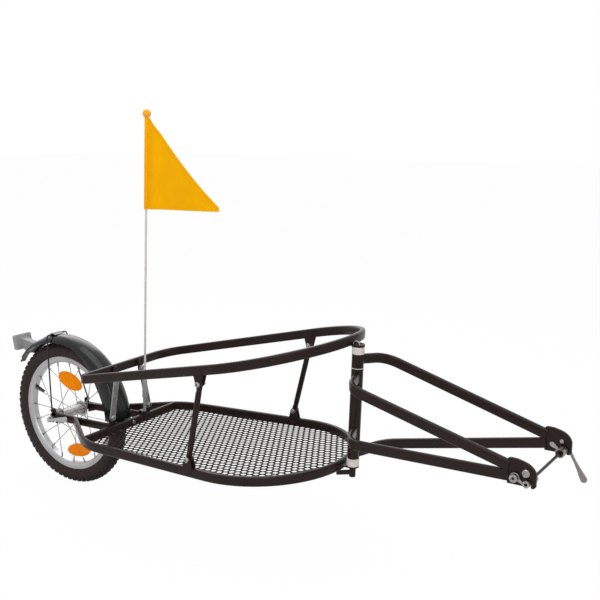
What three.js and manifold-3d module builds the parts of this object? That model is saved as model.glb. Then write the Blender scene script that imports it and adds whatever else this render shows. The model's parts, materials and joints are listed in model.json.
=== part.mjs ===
// Single wheel touring trailer: a bent tube bed on one 16 inch wheel, towed by a fork at a hitch axle
// X points forwards to the hitch, Y to the left and Z up; the origin is the middle of the hitch axle
// Chassis sizes start at the wheel axle, and hitch sizes at the hitch axle
import * as THREE from "three";
import { mergeVertices } from "three/addons/utils/BufferGeometryUtils.js";
import Module from "manifold-3d";

const wasm = await Module();
wasm.setup();

// Layout
const wheelBase = 1313;
const hubDrop = 129;
const fitGap = 0.3;
const cutOverrun = 5;

// Frame tube, a flat sided oval used for both hoops, the crossbar and the fork legs
const tubeHeight = 22;
const tubeWidth = 12;
const tubeCorner = 4;
const cornerSteps = 1;

// Bed plane, which rises towards the nose
const bedRiseDeg = 1.95;
const bedHeightAtAxle = 4.4;

// Lower hoop: diagonals off the stays, long sides that flare a little, and a round nose
const railNoseRadius = 208;
const railNoseCentreX = 642;
const railFlareDeg = 3.2;
const railCornerLead = 20.6;
const railCornerRadius = 154;
const railStartX = 77.4;
const bendSteps = 5;
const noseSteps = 18;

// Stays and dropouts
const stayHalfGauge = 59;
const stayWidth = 10;
const stayHeight = 20;
const stayStartX = 12;
const dropoutThickness = 6;
const dropoutRadius = 15;
const eyeletX = -2;
const eyeletZ = 21;
const eyeletRadius = 5.5;
const eyeletBore = 2.4;

// Floor
const floorThickness = 2;
const floorDrop = 8;

// Cargo hoop: a rear cross tube, flaring sides, wide shoulders and a round nose that sweeps up
const hoopRearSetback = 15.5;
const hoopRearCorner = 45;
const hoopRearHalfWidth = 148.5;
const hoopShoulderSetback = 131.9;
const hoopShoulderHalfWidth = 207.5;
const hoopShoulderRadius = 213;
const hoopNoseLead = 60.2;
const hoopNoseRadius = 177;
const hoopRearZ = 162.2;
const hoopRiseDeg = 13.12;
const hoopLiftStart = 175;
const hoopNoseLift = 1.7;
const hoopShoulderSteps = 8;
const hoopNoseSteps = 14;

// Struts, one each side, bolted into ears on both hoops
const rightStrutFootX = 585;
const leftStrutFootX = 590;
const rightStrutHeadX = 618;
const leftStrutHeadX = 641;
const strutFootRise = 30.2;
const strutHeadDrop = 29.3;
const strutRadius = 6;
const strutTangThickness = 5.4;
const strutTangRadius = 7.5;
const strutTangLength = 16;
const strutShoulder = 11;
const earThickness = 4;
const earGap = 7.6;
const earTopRadius = 8.5;
const earRootRadius = 9.5;
const earSink = 4;
const boltRadius = 3;
const boltHeadRadius = 6.5;
const boltHeadHeight = 4.5;
const boltNutHeight = 4;

// Flat brackets between the crossbar and the rear of the cargo hoop
const bracketFrontLead = 0.5;
const bracketThickness = 3;
const bracketFootY = 66;
const bracketFootZ = 43;
const bracketHeadY = 44.5;
const bracketHeadZ = 147;
const bracketHalfWidth = 8.75;
const tabThickness = 3;
const tabHalfWidth = 9;
const smallBoltRadius = 2.5;
const smallBoltHeadRadius = 5;
const smallBoltHeadHeight = 3.5;

// Head of the frame: lugs, pin and keeper on an axis that leans forwards
const headStandoff = 22.6;
const headLeanDeg = 2.26;
const headLugThickness = 5;
const topLugDrop = 0.6;
const headLugHalfWidth = 14.2;
const bottomLugZ = 33.3;
const bottomLugThickness = 3;
const pinRadius = 6;
const pinNeckRadius = 4.5;
const pinNeckLength = 3.5;
const pinHubRadius = 7.2;
const pinHubLength = 19;
const pinNubRadius = 3;
const pinNubLength = 1.6;
const pinArmLength = 39;
const pinArmWidth = 10;
const pinArmHeight = 8.6;
const pinArmDropDeg = 9;
const keeperSpan = 18;
const keeperHeight = 9;
const keeperWidth = 3;
const keeperThickness = 2.2;
const keeperRear = 8.5;
const keeperSide = 10;

// Fork: the right arm turns on the head tube between two sleeves of the left arm
const headTubeRadius = 13.2;
const headTubeWall = 2;
const headTubeBottomZ = 54.5;
const topBushHeight = 16.4;
const bushRadius = 13.9;
const bushSpigot = 18;
const topSleeveLength = 31;
const bottomSleeveLength = 36.5;
const leftLegInset = 0.5;
const rightUpperInset = 9.5;
const rightLowerInset = 16;
const leftUpperFall = 10.9;
const leftLowerFall = -3;
const rightUpperFall = 1.5;
const rightLowerFall = 0.5;
const shoulderLead = 35.8;
const shoulderHalfWidth = 80.5;
const shoulderRadius = 47;
const shoulderSteps = 8;
const upperLegEndHalfWidth = 103.5;
const upperLegEndZ = 155.5;
const lowerLegEndHalfWidth = 103.5;
const lowerLegEndZ = 136;
const legStartReach = 3;

// Hitch plates, sizes from the hitch axle
const plateInnerY = 101;
const plateThickness = 6;
const plateRear = 40;
const plateRearTop = 41;
const plateCrestX = -27;
const plateCrestZ = 43;
const plateShoulderX = -9;
const plateShoulderZ = 39.6;
const plateCornerX = 12;
const plateCornerZ = 34;
const plateFront = 15.8;
const plateShoulderRadius = 17;
const plateBottom = 8;
const plateToeDrop = 9.5;
const plateToeRadius = 2;
const slotHalfWidth = 6.6;
const plateBoltX = -4;
const plateBoltZ = 17.7;
const plateBoltHeadRadius = 8;
const plateBoltHeadHeight = 3;
const plateBoltTipRadius = 4.5;
const plateBoltTipLength = 3;

// Spring catches that close the slots
const catchPivotX = -23.4;
const catchPivotZ = 8.5;
const catchNoseX = -4.2;
const catchNoseZ = -8;
const catchHeelX = -10.2;
const catchHeelZ = -1.2;
const catchArmHalfWidth = 2;
const catchNoseHalfWidth = 1.4;
const catchArmThickness = 2.5;
const catchEyeRadius = 5.2;
const catchPinRadius = 3;
const catchWasherRadius = 9;
const catchWasherThickness = 2;
const catchKnobRadius = 8;
const catchKnobLength = 9;
const catchInnerArmX = -11.5;
const catchInnerArmZ = 1;
const catchInnerEndRadius = 2.6;

// Hitch skewer, its two shouldered nuts and its lever
const skewerRadius = 3;
const hitchNutInnerY = 76;
const hitchNutRadius = 10;
const hitchNutBodyLength = 21.5;
const hitchNeckRadius = 6;
const hitchNeckLength = 13;
const hitchRimRadius = 7;
const hitchRimLength = 6;
const hitchCamRadius = 7.5;
const hitchCamLength = 5;
const leverBarrelRadius = 4;
const leverBarrelLength = 12;
const hitchLeverLength = 81;
const hitchLeverDeg = 60;
const leverRootHalfWidth = 3;
const leverTipHalfWidth = 7.2;
const leverThickness = 4;

// Wheel, 16 inch with a 305 mm bead seat
const tyreSectionRise = 13;
const tyreSectionRadius = 21.5;
const tyreWall = 3.5;
const beadSeatDepth = 6;
const beadHalfWidth = 10.2;
const beadThickness = 3.4;
const rimFlangeRadius = 159;
const rimHalfWidth = 12.5;
const rimWall = 1.8;
const rimWellDepth = 7.5;
const rimShoulderDepth = 12;
const rimInnerDepth = 19;
const rimFloorHalfWidth = 8;
const valveRadius = 4;
const valveLength = 28;
const valveDeg = 158.5;
const flangeHalfGauge = 38;
const flangeRadius = 21;
const flangeThickness = 3.5;
const barrelRadius = 14;
const hubEndRadius = 13;
const hubEndLength = 6;
const hubBore = 9.5;
const spokeRadius = 1.1;
const spokeCircle = 17.5;
const spokeCount = 20;
const spokeLeanDeg = 62;
const wheelSides = 36;
const tyreSteps = 6;
const spokeSides = 4;
const tyreEdgeDeg = 30;
const reflectorSetback = 43;
const reflectorHalfLength = 44;
const reflectorHalfWidth = 16;
const reflectorThickness = 5;
const upperReflectorInset = 6;
const lowerReflectorInset = 8;
const reflectorTiltDeg = 17;
const reflectorTurnShares = { upper: 86 / 360, lower: -72 / 360 };

// Wheel axle and its quick release
const axleRadius = 5;
const axleBore = 2.9;
const axleOverhang = 3;
const coneRadius = 8.5;
const coneEndGap = 0.5;
const axleSkewerRadius = 2.4;
const axleNutRadius = 8;
const axleNutLength = 14;
const axleCamLength = 14;
const axleLeverLength = 72;
const axleLeverDeg = -11.4;

// Mudguard, its tail, stay and bridge
const guardCentreX = -9;
const guardCentreZ = 2;
const guardClearance = 18.5;
const guardHalfWidth = 30;
const guardShoulderDrop = 15;
const guardWall = 2;
const guardShallowSkirt = 19;
const guardDeepSkirt = 46;
const guardFrontDeg = 3;
const guardRearDeg = 108;
const skirtDeepDeg = 29;
const skirtShallowDeg = 76;
const guardSteps = 17;
const guardCrownSteps = 3;
const tailSideGap = 1.5;
const tailSkirt = 13;
const tailFrontDeg = 98;
const tailRearDeg = 138;
const tailSteps = 7;
const tongueHalfWidth = 9;
const tongueRearDeg = 147;
const tongueLapDeg = 1;
const tongueSteps = 3;
const stayWireRadius = 1.9;
const stayWireX = -42;
const stayWireShoulderY = 34;
const stayWireBend = 7;
const stayWireStandoff = 1.5;
const stayWireSides = 6;
const bridgeHalfWidth = 16;
const bridgeThickness = 1.6;
const bridgeFootDeg = 2.2;
const bridgeHumpDeg = 1.6;
const guardScrewZ = 14.5;
const guardSpacerLength = 12;
const guardSpacerRadius = 5;
const guardScrewSeat = 1;

// Rear reflector on the tail of the mudguard
const lampStandoff = 31.6;
const lampDeg = 134.9;
const lampThickness = 13;
const lampHalfWidth = 33.5;
const lampHeight = 41;
const lampTiltDeg = 11;
const lampCorner = 4;
const lampLensInset = 3;
const lampLensThickness = 3;
const lampBracketHalfWidth = 12;
const lampBracketTopDeg = 124;
const lampBracketBottomDeg = 136;
const lampBracketHalfHeight = 12;

// Flag pole and pennant, sizes along the leaning pole from its foot
const flagLead = 4.7;
const flagY = 44.6;
const flagLeanDeg = 3.04;
const socketRadius = 6.8;
const socketHeight = 9;
const socketFootHalfWidth = 5;
const socketFootRear = 8;
const stubRadius = 4.2;
const stubLength = 46.7;
const ferruleRadius = 6.2;
const ferruleLength = 46.6;
const poleRadius = 2.8;
const poleTop = 768;
const poleSink = 20;
const ballRadius = 11.5;
const ballCentre = 773.8;
const flagBottom = 539;
const flagTop = 762;
const flagReach = 228;
const flagTipBottom = 557;
const flagTipTop = 567;
const flagShoulderX = 13;
const flagSlopeSag = 10;
const sleeveRadius = 5.4;
const flagThickness = 1.6;
const flagFoldX = 24;
const flagFoldWidth = 14;
const flagFoldDepth = 4.5;
const flagWaveDepth = 2.5;
const flagWaveLength = 210;
const flagWaveLean = 0.35;
const flagAcross = 18;
const flagUp = 5;

// Sides of round pieces
const smallSides = 8;
const roundSides = 16;

// Sizes and places that follow from the ones above
const rimInnerRadius = rimFlangeRadius - rimInnerDepth;
const rimShoulderRadius = rimFlangeRadius - rimShoulderDepth;
const rimWellRadius = rimFlangeRadius - rimWellDepth;
const beadRadius = rimFlangeRadius - beadSeatDepth;
const valveTipRadius = rimInnerRadius - valveLength;
const reflectorCentreRadius = rimInnerRadius - reflectorSetback;
const tyreSectionCentre = rimFlangeRadius + tyreSectionRise;
const guardRadius = tyreSectionCentre + tyreSectionRadius + guardClearance;
const crossbarX = guardCentreX + guardRadius + guardSpacerLength + tubeWidth / 2;
const railCornerX = crossbarX + railCornerLead;
const railNoseFront = railNoseCentreX + railNoseRadius + tubeWidth / 2;
const bracketFrontX = crossbarX + bracketFrontLead;
const flagX = crossbarX + flagLead;
const headX = railNoseFront + headStandoff;
const shoulderX = headX + shoulderLead;
const hoopRearX = crossbarX - hoopRearSetback;
const hoopShoulderX = headX - hoopShoulderSetback;

// Materials
function paint(color, roughness, metalness) {
  return new THREE.MeshStandardMaterial({ color, roughness, metalness });
}
const blackPaint = paint(0x35302f, 0.42, 0.1);
const blackPlastic = paint(0x2c2b2b, 0.55, 0);
const greyPlastic = paint(0x858585, 0.5, 0);
const creamPlastic = paint(0xd3c7bb, 0.5, 0);
const zinc = paint(0xb9b7b2, 0.35, 0.9);
const alloy = paint(0xc4c2c2, 0.3, 0.9);
const blackRubber = paint(0x3a3433, 0.85, 0);
const orangePlastic = paint(0xff8a10, 0.3, 0);
const redPlastic = paint(0xa31515, 0.3, 0);
const poleFibre = paint(0xb4b2ac, 0.4, 0);
const yellowCloth = paint(0xf2e21d, 0.8, 0);

const sides = [
  {
    side: "right",
    sign: -1,
    footX: rightStrutFootX,
    headX: rightStrutHeadX,
    upperFall: rightUpperFall,
    lowerFall: rightLowerFall,
  },
  {
    side: "left",
    sign: 1,
    footX: leftStrutFootX,
    headX: leftStrutHeadX,
    upperFall: leftUpperFall,
    lowerFall: leftLowerFall,
  },
];
const xAxis = new THREE.Vector3(1, 0, 0);
const yAxis = new THREE.Vector3(0, 1, 0);
const zAxis = new THREE.Vector3(0, 0, 1);
const radians = THREE.MathUtils.degToRad;
const slopeOf = (degrees) => Math.tan(radians(degrees));
const vec = (x, y, z) => new THREE.Vector3(x, y, z);
const flat = (x, y) => new THREE.Vector2(x, y);

// A closed skin through a row of outlines, each laid out in its own frame
function loft(stations, closed = false) {
  const count = stations[0].outline.length;
  const points = stations.flatMap(({ at, across, up, outline }) =>
    outline.map((p) => at.clone().addScaledVector(across, p.x).addScaledVector(up, p.y)),
  );
  const faces = [];
  const spans = closed ? stations.length : stations.length - 1;
  for (let s = 0; s < spans; s++) {
    const here = s * count;
    const next = ((s + 1) % stations.length) * count;
    for (let i = 0; i < count; i++) {
      const j = (i + 1) % count;
      faces.push(here + i, here + j, next + j, here + i, next + j, next + i);
    }
  }
  if (!closed) {
    const last = (stations.length - 1) * count;
    for (const [start, outline, turn] of [
      [0, stations[0].outline, -1],
      [last, stations.at(-1).outline, 1],
    ]) {
      for (const [a, b, c] of THREE.ShapeUtils.triangulateShape(outline, [])) {
        const corners = [outline[a], outline[b], outline[c]];
        const forwards = THREE.ShapeUtils.area(corners) * turn > 0;
        faces.push(start + a, start + (forwards ? b : c), start + (forwards ? c : b));
      }
    }
  }
  return new THREE.BufferGeometry().setFromPoints(points).setIndex(faces);
}

// An outline carried along a line of points, with its height kept upright
function sweep(line, outline, closed = false) {
  const stations = line.map((at, i) => {
    const before = line[i - 1] ?? (closed ? line.at(-1) : at);
    const after = line[i + 1] ?? (closed ? line[0] : at);
    const travel = at.clone().sub(before).normalize();
    travel.add(after.clone().sub(at).normalize()).normalize();
    const upright = Math.abs(travel.z) > 0.9 ? xAxis : zAxis;
    const across = upright.clone().cross(travel).normalize();
    return { at, across, up: travel.clone().cross(across), outline };
  });
  return loft(stations, closed);
}

// A rectangle with rounded corners, as points that run anticlockwise
function roundedOutline(width, height, corner) {
  const points = [];
  const reachX = width / 2 - corner;
  const reachY = height / 2 - corner;
  const corners = [flat(1, 1), flat(-1, 1), flat(-1, -1), flat(1, -1)];
  corners.forEach((quadrant, i) => {
    for (let k = 0; k <= cornerSteps; k++) {
      const angle = ((i + k / cornerSteps) * Math.PI) / 2;
      const x = quadrant.x * reachX + corner * Math.cos(angle);
      const y = quadrant.y * reachY + corner * Math.sin(angle);
      points.push(flat(x, y));
    }
  });
  return points;
}

function roundOutline(radius, count) {
  const turns = Array.from({ length: count }, (_, k) => (k / count) * 2 * Math.PI);
  return turns.map((turn) => flat(radius * Math.cos(turn), radius * Math.sin(turn)));
}

// A line through corners, each inner corner rounded by its own radius and steps
function roundedLine(corners) {
  const line = [corners[0].at];
  for (let i = 1; i < corners.length - 1; i++) {
    const { at, radius, steps = bendSteps } = corners[i];
    const back = corners[i - 1].at.clone().sub(at).normalize();
    const ahead = corners[i + 1].at.clone().sub(at).normalize();
    const half = back.angleTo(ahead) / 2;
    const toCentre = back.clone().add(ahead).normalize();
    const centre = at.clone().addScaledVector(toCentre, radius / Math.sin(half));
    const start = at.clone().addScaledVector(back, radius / Math.tan(half));
    const out = start.clone().sub(centre);
    for (let k = 0; k <= steps; k++) {
      const turn = (k / steps) * (Math.PI - 2 * half);
      const point = centre.clone().addScaledVector(out, Math.cos(turn));
      line.push(point.addScaledVector(back, -radius * Math.sin(turn)));
    }
  }
  line.push(corners.at(-1).at);
  return line;
}

// A flat outline made thick along one axis, from one coordinate to another
const slabFrames = {
  x: new THREE.Matrix4().makeBasis(yAxis, zAxis, xAxis),
  y: new THREE.Matrix4().makeBasis(xAxis, zAxis, yAxis.clone().negate()),
  z: new THREE.Matrix4(),
};
function slab(shape, axis, from, to) {
  const depth = Math.abs(to - from);
  const options = { depth, bevelEnabled: false, curveSegments: bendSteps };
  const geometry = new THREE.ExtrudeGeometry(shape, options).applyMatrix4(slabFrames[axis]);
  const start = axis === "y" ? Math.max(from, to) : Math.min(from, to);
  const shift = { x: xAxis, y: yAxis, z: zAxis }[axis].clone().multiplyScalar(start);
  return geometry.translate(shift.x, shift.y, shift.z);
}

// The outline round two circles and the straight sides that touch both
function link(a, radiusA, b, radiusB) {
  const span = b.clone().sub(a);
  const heading = Math.atan2(span.y, span.x);
  const touch = Math.acos((radiusA - radiusB) / span.length());
  const shape = new THREE.Shape();
  shape.absarc(a.x, a.y, radiusA, heading + touch, heading + 2 * Math.PI - touch);
  shape.absarc(b.x, b.y, radiusB, heading - touch, heading + touch);
  return shape;
}

// A turned piece about Y, from [radius, height] points that end on the axis or close on themselves
function turned(profile, count = roundSides) {
  const points = profile.map(([radius, height]) => flat(radius, height));
  const onAxis = points[0].x === 0;
  if (THREE.ShapeUtils.area(points) < 0) points.reverse();
  if (!onAxis) points.push(points[0].clone());
  return new THREE.LatheGeometry(points, count);
}

function aimed(geometry, from, direction) {
  const turn = new THREE.Quaternion().setFromUnitVectors(yAxis, direction.clone().normalize());
  return geometry.applyQuaternion(turn).translate(from.x, from.y, from.z);
}

function rod(from, to, radius, count = roundSides) {
  const span = to.clone().sub(from);
  const length = span.length();
  const geometry = new THREE.CylinderGeometry(radius, radius, length, count);
  return aimed(geometry.translate(0, length / 2, 0), from, span);
}

function block(low, high) {
  const size = high.clone().sub(low);
  const middle = high.clone().add(low).multiplyScalar(1 / 2);
  return new THREE.BoxGeometry(size.x, size.y, size.z).translate(middle.x, middle.y, middle.z);
}

// Cuts and joins
function solid(geometry) {
  const bare = new THREE.BufferGeometry();
  bare.setAttribute("position", geometry.getAttribute("position"));
  bare.setIndex(geometry.index);
  const merged = mergeVertices(bare, 1e-4);
  const vertProperties = merged.getAttribute("position").array;
  const triVerts = new Uint32Array(merged.index.array);
  return new wasm.Manifold(new wasm.Mesh({ numProp: 3, vertProperties, triVerts }));
}

function surface(body) {
  const { vertProperties, triVerts } = body.getMesh();
  const geometry = new THREE.BufferGeometry();
  geometry.setAttribute("position", new THREE.BufferAttribute(vertProperties, 3));
  return geometry.setIndex(new THREE.BufferAttribute(triVerts, 1));
}

function joined(...geometries) {
  return surface(geometries.map(solid).reduce((whole, next) => whole.add(next)));
}

function cut(geometry, ...tools) {
  return surface(tools.map(solid).reduce((left, tool) => left.subtract(tool), solid(geometry)));
}

// A bolt or screw through two faces, with its head before the first and its nut after the second
function bolt(from, to, radius, headRadius, headHeight, nutRadius, nutHeight) {
  const span = to.clone().sub(from);
  const far = span.length() + fitGap;
  const profile = [
    [0, -fitGap - headHeight],
    [headRadius, -fitGap - headHeight],
    [headRadius, -fitGap],
    [radius, -fitGap],
    [radius, far],
    [nutRadius, far],
    [nutRadius, far + nutHeight],
    [0, far + nutHeight],
  ];
  return aimed(turned(profile, smallSides), from, span);
}

function drill(from, to, radius) {
  const along = to.clone().sub(from).normalize().multiplyScalar(cutOverrun);
  return rod(from.clone().sub(along), to.clone().add(along), radius + fitGap);
}

const trailer = new THREE.Group();
const chassis = new THREE.Group();
chassis.position.set(-wheelBase, 0, -hubDrop);
trailer.add(chassis);

function piece(name, geometry, material, parent = chassis) {
  const mesh = new THREE.Mesh(geometry, material);
  mesh.name = name;
  parent.add(mesh);
  return mesh;
}

// Lower hoop
const bedZ = (x) => bedHeightAtAxle + x * slopeOf(bedRiseDeg);
const tubeOutline = roundedOutline(tubeWidth, tubeHeight, tubeCorner);
const clearOutline = roundedOutline(tubeWidth + 2 * fitGap, tubeHeight + 2 * fitGap, tubeCorner);
const mirrored = (line) => line.map((p) => vec(p.x, -p.y, p.z));
const stayOuterY = stayHalfGauge + stayWidth / 2;

function railPlan() {
  const flare = radians(railFlareDeg);
  const touchX = railNoseCentreX - railNoseRadius * Math.sin(flare);
  const touchY = railNoseRadius * Math.cos(flare);
  const cornerY = touchY - (touchX - railCornerX) * Math.tan(flare);
  const left = roundedLine([
    { at: vec(railStartX, stayHalfGauge, 0) },
    { at: vec(railCornerX, cornerY, 0), radius: railCornerRadius },
    { at: vec(touchX, touchY, 0) },
  ]);
  const arc = [];
  for (let k = 1; k < noseSteps; k++) {
    const turn = (Math.PI / 2 + flare) * (1 - (2 * k) / noseSteps);
    const x = railNoseCentreX + railNoseRadius * Math.cos(turn);
    arc.push(vec(x, railNoseRadius * Math.sin(turn), 0));
  }
  return [...left, ...arc, ...mirrored(left).reverse()];
}
const railLine = railPlan().map((p) => vec(p.x, p.y, bedZ(p.x)));

// Two ears with a round end, one each side of a flat tang, that rise 1 or -1 from a tube
function ears(at, tubeZ, rise) {
  const rootZ = tubeZ + rise * (tubeHeight / 2 - earSink);
  const beyondZ = rootZ - rise * 2 * earRootRadius;
  const shape = link(flat(at.x, rootZ), earRootRadius, flat(at.x, at.z), earTopRadius);
  const inner = earGap / 2;
  const outer = inner + earThickness;
  const pair = [slab(shape, "y", at.y - outer, at.y - inner), slab(shape, "y", at.y + inner, at.y + outer)];
  const bore = drill(vec(at.x, at.y - outer, at.z), vec(at.x, at.y + outer, at.z), boltRadius);
  const insideTube = block(
    vec(at.x - 2 * earRootRadius, at.y - 2 * earGap, Math.min(rootZ, beyondZ)),
    vec(at.x + 2 * earRootRadius, at.y + 2 * earGap, Math.max(rootZ, beyondZ)),
  );
  return pair.map((ear) => cut(ear, bore, insideTube));
}

// The half width of a hoop's centre line at X
function halfWidthAt(line, x) {
  for (let i = 1; i < line.length; i++) {
    const [a, b] = [line[i - 1], line[i]];
    if (a.y >= 0 && a.x <= x && b.x >= x) return THREE.MathUtils.mapLinear(x, a.x, b.x, a.y, b.y);
  }
  throw new Error("the hoop does not reach " + x);
}

const strutFeet = sides.map(({ sign, footX }) =>
  vec(footX, sign * halfWidthAt(railLine, footX), bedZ(footX) + strutFootRise),
);

function lowerHoop() {
  const stays = sides.map(({ sign }) => stayBox(sign, fitGap));
  const hoop = cut(sweep(railLine, tubeOutline), ...stays, betweenStays());
  return joined(hoop, ...strutFeet.flatMap((at) => ears(at, bedZ(at.x), 1)));
}

// Stays and dropouts
function stayBox(sign, gap = 0) {
  const endX = gap ? crossbarX : crossbarX - tubeWidth / 2 - fitGap;
  const outline = roundedOutline(stayWidth + 2 * gap, stayHeight + 2 * gap, tubeCorner);
  const line = [stayStartX - gap, endX].map((x) => vec(x, sign * stayHalfGauge, bedZ(x)));
  return sweep(line, outline);
}

function betweenStays() {
  const reach = stayHalfGauge;
  return block(vec(0, -reach, -tubeHeight), vec(crossbarX, reach, tubeHeight + bedZ(crossbarX)));
}

function chainstay(sign) {
  const low = sign * stayHalfGauge - dropoutThickness / 2;
  const high = low + dropoutThickness;
  const tip = link(flat(0, 0), dropoutRadius, flat(stayStartX + dropoutRadius, bedZ(0)), stayHeight / 2);
  const eyelet = link(flat(0, 0), dropoutRadius / 2, flat(eyeletX, eyeletZ), eyeletRadius);
  const slotHalf = axleRadius + fitGap;
  const slotLow = vec(-slotHalf, low - cutOverrun, -2 * dropoutRadius);
  const slot = block(slotLow, vec(slotHalf, high + cutOverrun, 0));
  const holes = [
    slot,
    drill(vec(0, low, 0), vec(0, high, 0), axleRadius),
    drill(vec(eyeletX, low, eyeletZ), vec(eyeletX, high, eyeletZ), eyeletBore - fitGap),
  ];
  const plate = joined(slab(tip, "y", low, high), slab(eyelet, "y", low, high));
  return joined(stayBox(sign), cut(plate, ...holes));
}

// Crossbar with its bracket tabs
const crossbarZ = bedZ(crossbarX);
const crossbarTop = crossbarZ + tubeHeight / 2;
const bracketRearX = bracketFrontX - bracketThickness;
const tabFrontX = bracketRearX - fitGap;
const tabRearX = tabFrontX - tabThickness;

function tab(y, boltZ, rootZ) {
  const shape = link(flat(y, boltZ), tabHalfWidth, flat(y, rootZ), tabHalfWidth);
  const bore = drill(vec(tabRearX, y, boltZ), vec(tabFrontX, y, boltZ), smallBoltRadius);
  return cut(slab(shape, "x", tabRearX, tabFrontX), bore);
}

function crossbar() {
  const reach = halfWidthAt(railLine, crossbarX);
  const line = [-reach, 0, reach].map((y) => vec(crossbarX, y, crossbarZ));
  const bar = cut(sweep(line, tubeOutline), sweep(railLine, clearOutline));
  const rootZ = crossbarTop - tabHalfWidth - earSink;
  const tabs = sides.map(({ sign }) => tab(sign * bracketFootY, bracketFootZ, rootZ));
  const frontX = crossbarX + tubeWidth / 2;
  const rearX = crossbarX - tubeWidth / 2;
  const screwHole = drill(vec(rearX, 0, guardScrewZ), vec(frontX, 0, guardScrewZ), smallBoltRadius);
  return cut(joined(bar, ...tabs), screwHole);
}

// Floor inside the lower hoop
function floorSheet() {
  const inset = tubeWidth / 2 + fitGap;
  const edge = railLine.map((at, i) => {
    const before = railLine[i - 1] ?? at;
    const after = railLine[i + 1] ?? at;
    const travel = flat(after.x - before.x, after.y - before.y).normalize();
    return flat(at.x + travel.y * inset, at.y - travel.x * inset);
  });
  const top = bedHeightAtAxle - floorDrop + floorThickness / 2;
  const sheet = slab(new THREE.Shape(edge), "z", top - floorThickness, top);
  sheet.applyMatrix4(new THREE.Matrix4().makeShear(0, slopeOf(bedRiseDeg), 0, 0, 0, 0));
  const rearX = crossbarX + tubeWidth / 2 + fitGap;
  const behind = block(vec(0, -railNoseRadius, -tubeHeight), vec(rearX, railNoseRadius, 2 * tubeHeight));
  return cut(sheet, behind);
}

// Cargo hoop
function cargoPlan() {
  const shoulder = vec(hoopShoulderX, hoopShoulderHalfWidth, 0);
  const corners = [
    { at: vec(hoopRearX, 0, 0) },
    { at: vec(hoopRearX, hoopRearHalfWidth, 0), radius: hoopRearCorner },
    { at: shoulder, radius: hoopShoulderRadius, steps: hoopShoulderSteps },
    { at: vec(headX + hoopNoseLead, 0, 0), radius: hoopNoseRadius, steps: hoopNoseSteps },
    { at: mirrored([shoulder])[0], radius: hoopShoulderRadius, steps: hoopShoulderSteps },
    { at: vec(hoopRearX, -hoopRearHalfWidth, 0), radius: hoopRearCorner },
    { at: vec(hoopRearX, 0, 0) },
  ];
  return roundedLine(corners).slice(0, -1);
}
const cargoPlanLine = cargoPlan();
const hoopNoseX = Math.max(...cargoPlanLine.map((p) => p.x));
const hoopNoseFront = hoopNoseX + tubeWidth / 2;

function hoopZ(x) {
  const past = Math.max(0, (x - hoopNoseX) / hoopLiftStart + 1);
  return hoopRearZ + (x - hoopRearX) * slopeOf(hoopRiseDeg) + hoopNoseLift * past ** 2;
}
const cargoLine = cargoPlanLine.map((p) => vec(p.x, p.y, hoopZ(p.x)));
const topLugZ = hoopZ(hoopNoseX) - tubeHeight / 2 - topLugDrop;
const headTubeTopZ = topLugZ - topBushHeight;
const strutHeads = sides.map(({ sign, headX: x }) =>
  vec(x, sign * halfWidthAt(cargoLine, x), hoopZ(x) - strutHeadDrop),
);

function cargoHoop() {
  const lugs = strutHeads.flatMap((at) => ears(at, hoopZ(at.x), -1));
  const tabs = sides.map(({ sign }) => tab(sign * bracketHeadY, bracketHeadZ, hoopRearZ));
  const shelves = sides.map(({ sign }) =>
    block(
      vec(hoopRearX, sign * bracketHeadY - tabHalfWidth, hoopRearZ - tubeHeight / 2 + tubeCorner),
      vec(tabFrontX, sign * bracketHeadY + tabHalfWidth, hoopRearZ),
    ),
  );
  return joined(sweep(cargoLine, tubeOutline, true), ...lugs, ...tabs, ...shelves);
}

// Struts and flat brackets
function strut(foot, head) {
  const along = head.clone().sub(foot).normalize();
  const tube = rod(
    foot.clone().addScaledVector(along, strutShoulder),
    head.clone().addScaledVector(along, -strutShoulder),
    strutRadius,
    smallSides,
  );
  const tangs = [foot, head].map((at, i) => {
    const inwards = at.clone().addScaledVector(along, i ? -strutTangLength : strutTangLength);
    const shape = link(flat(at.x, at.z), strutTangRadius, flat(inwards.x, inwards.z), strutRadius);
    const middle = (at.y + inwards.y) / 2;
    return slab(shape, "y", middle - strutTangThickness / 2, middle + strutTangThickness / 2);
  });
  const bores = [foot, head].map((at) =>
    drill(vec(at.x, at.y - earGap, at.z), vec(at.x, at.y + earGap, at.z), boltRadius),
  );
  return cut(joined(tube, ...tangs), ...bores);
}

function strutBolt(at, sign) {
  const reach = sign * (earGap / 2 + earThickness);
  const from = vec(at.x, at.y + reach, at.z);
  const to = vec(at.x, at.y - reach, at.z);
  return bolt(from, to, boltRadius, boltHeadRadius, boltHeadHeight, boltHeadRadius, boltNutHeight);
}

function bracket(sign) {
  const foot = flat(sign * bracketFootY, bracketFootZ);
  const head = flat(sign * bracketHeadY, bracketHeadZ);
  const strap = slab(link(foot, bracketHalfWidth, head, bracketHalfWidth), "x", bracketRearX, bracketFrontX);
  const bores = [foot, head].map((p) =>
    drill(vec(bracketRearX, p.x, p.y), vec(bracketFrontX, p.x, p.y), smallBoltRadius),
  );
  return cut(strap, ...bores);
}

function bracketBolt(y, z) {
  const from = vec(bracketFrontX, y, z);
  const to = vec(tabRearX, y, z);
  const [radius, height] = [smallBoltHeadRadius, smallBoltHeadHeight];
  return bolt(from, to, smallBoltRadius, radius, height, radius, height);
}

// Head parts stand in a group that leans with the steering axis
const head = new THREE.Group();
head.position.set(headX, 0, 0);
head.rotation.y = radians(headLeanDeg);
head.updateMatrix();
chassis.add(head);
const headAxisX = (z) => headX + z * slopeOf(headLeanDeg);
const upright = (geometry) => geometry.rotateX(Math.PI / 2);

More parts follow.
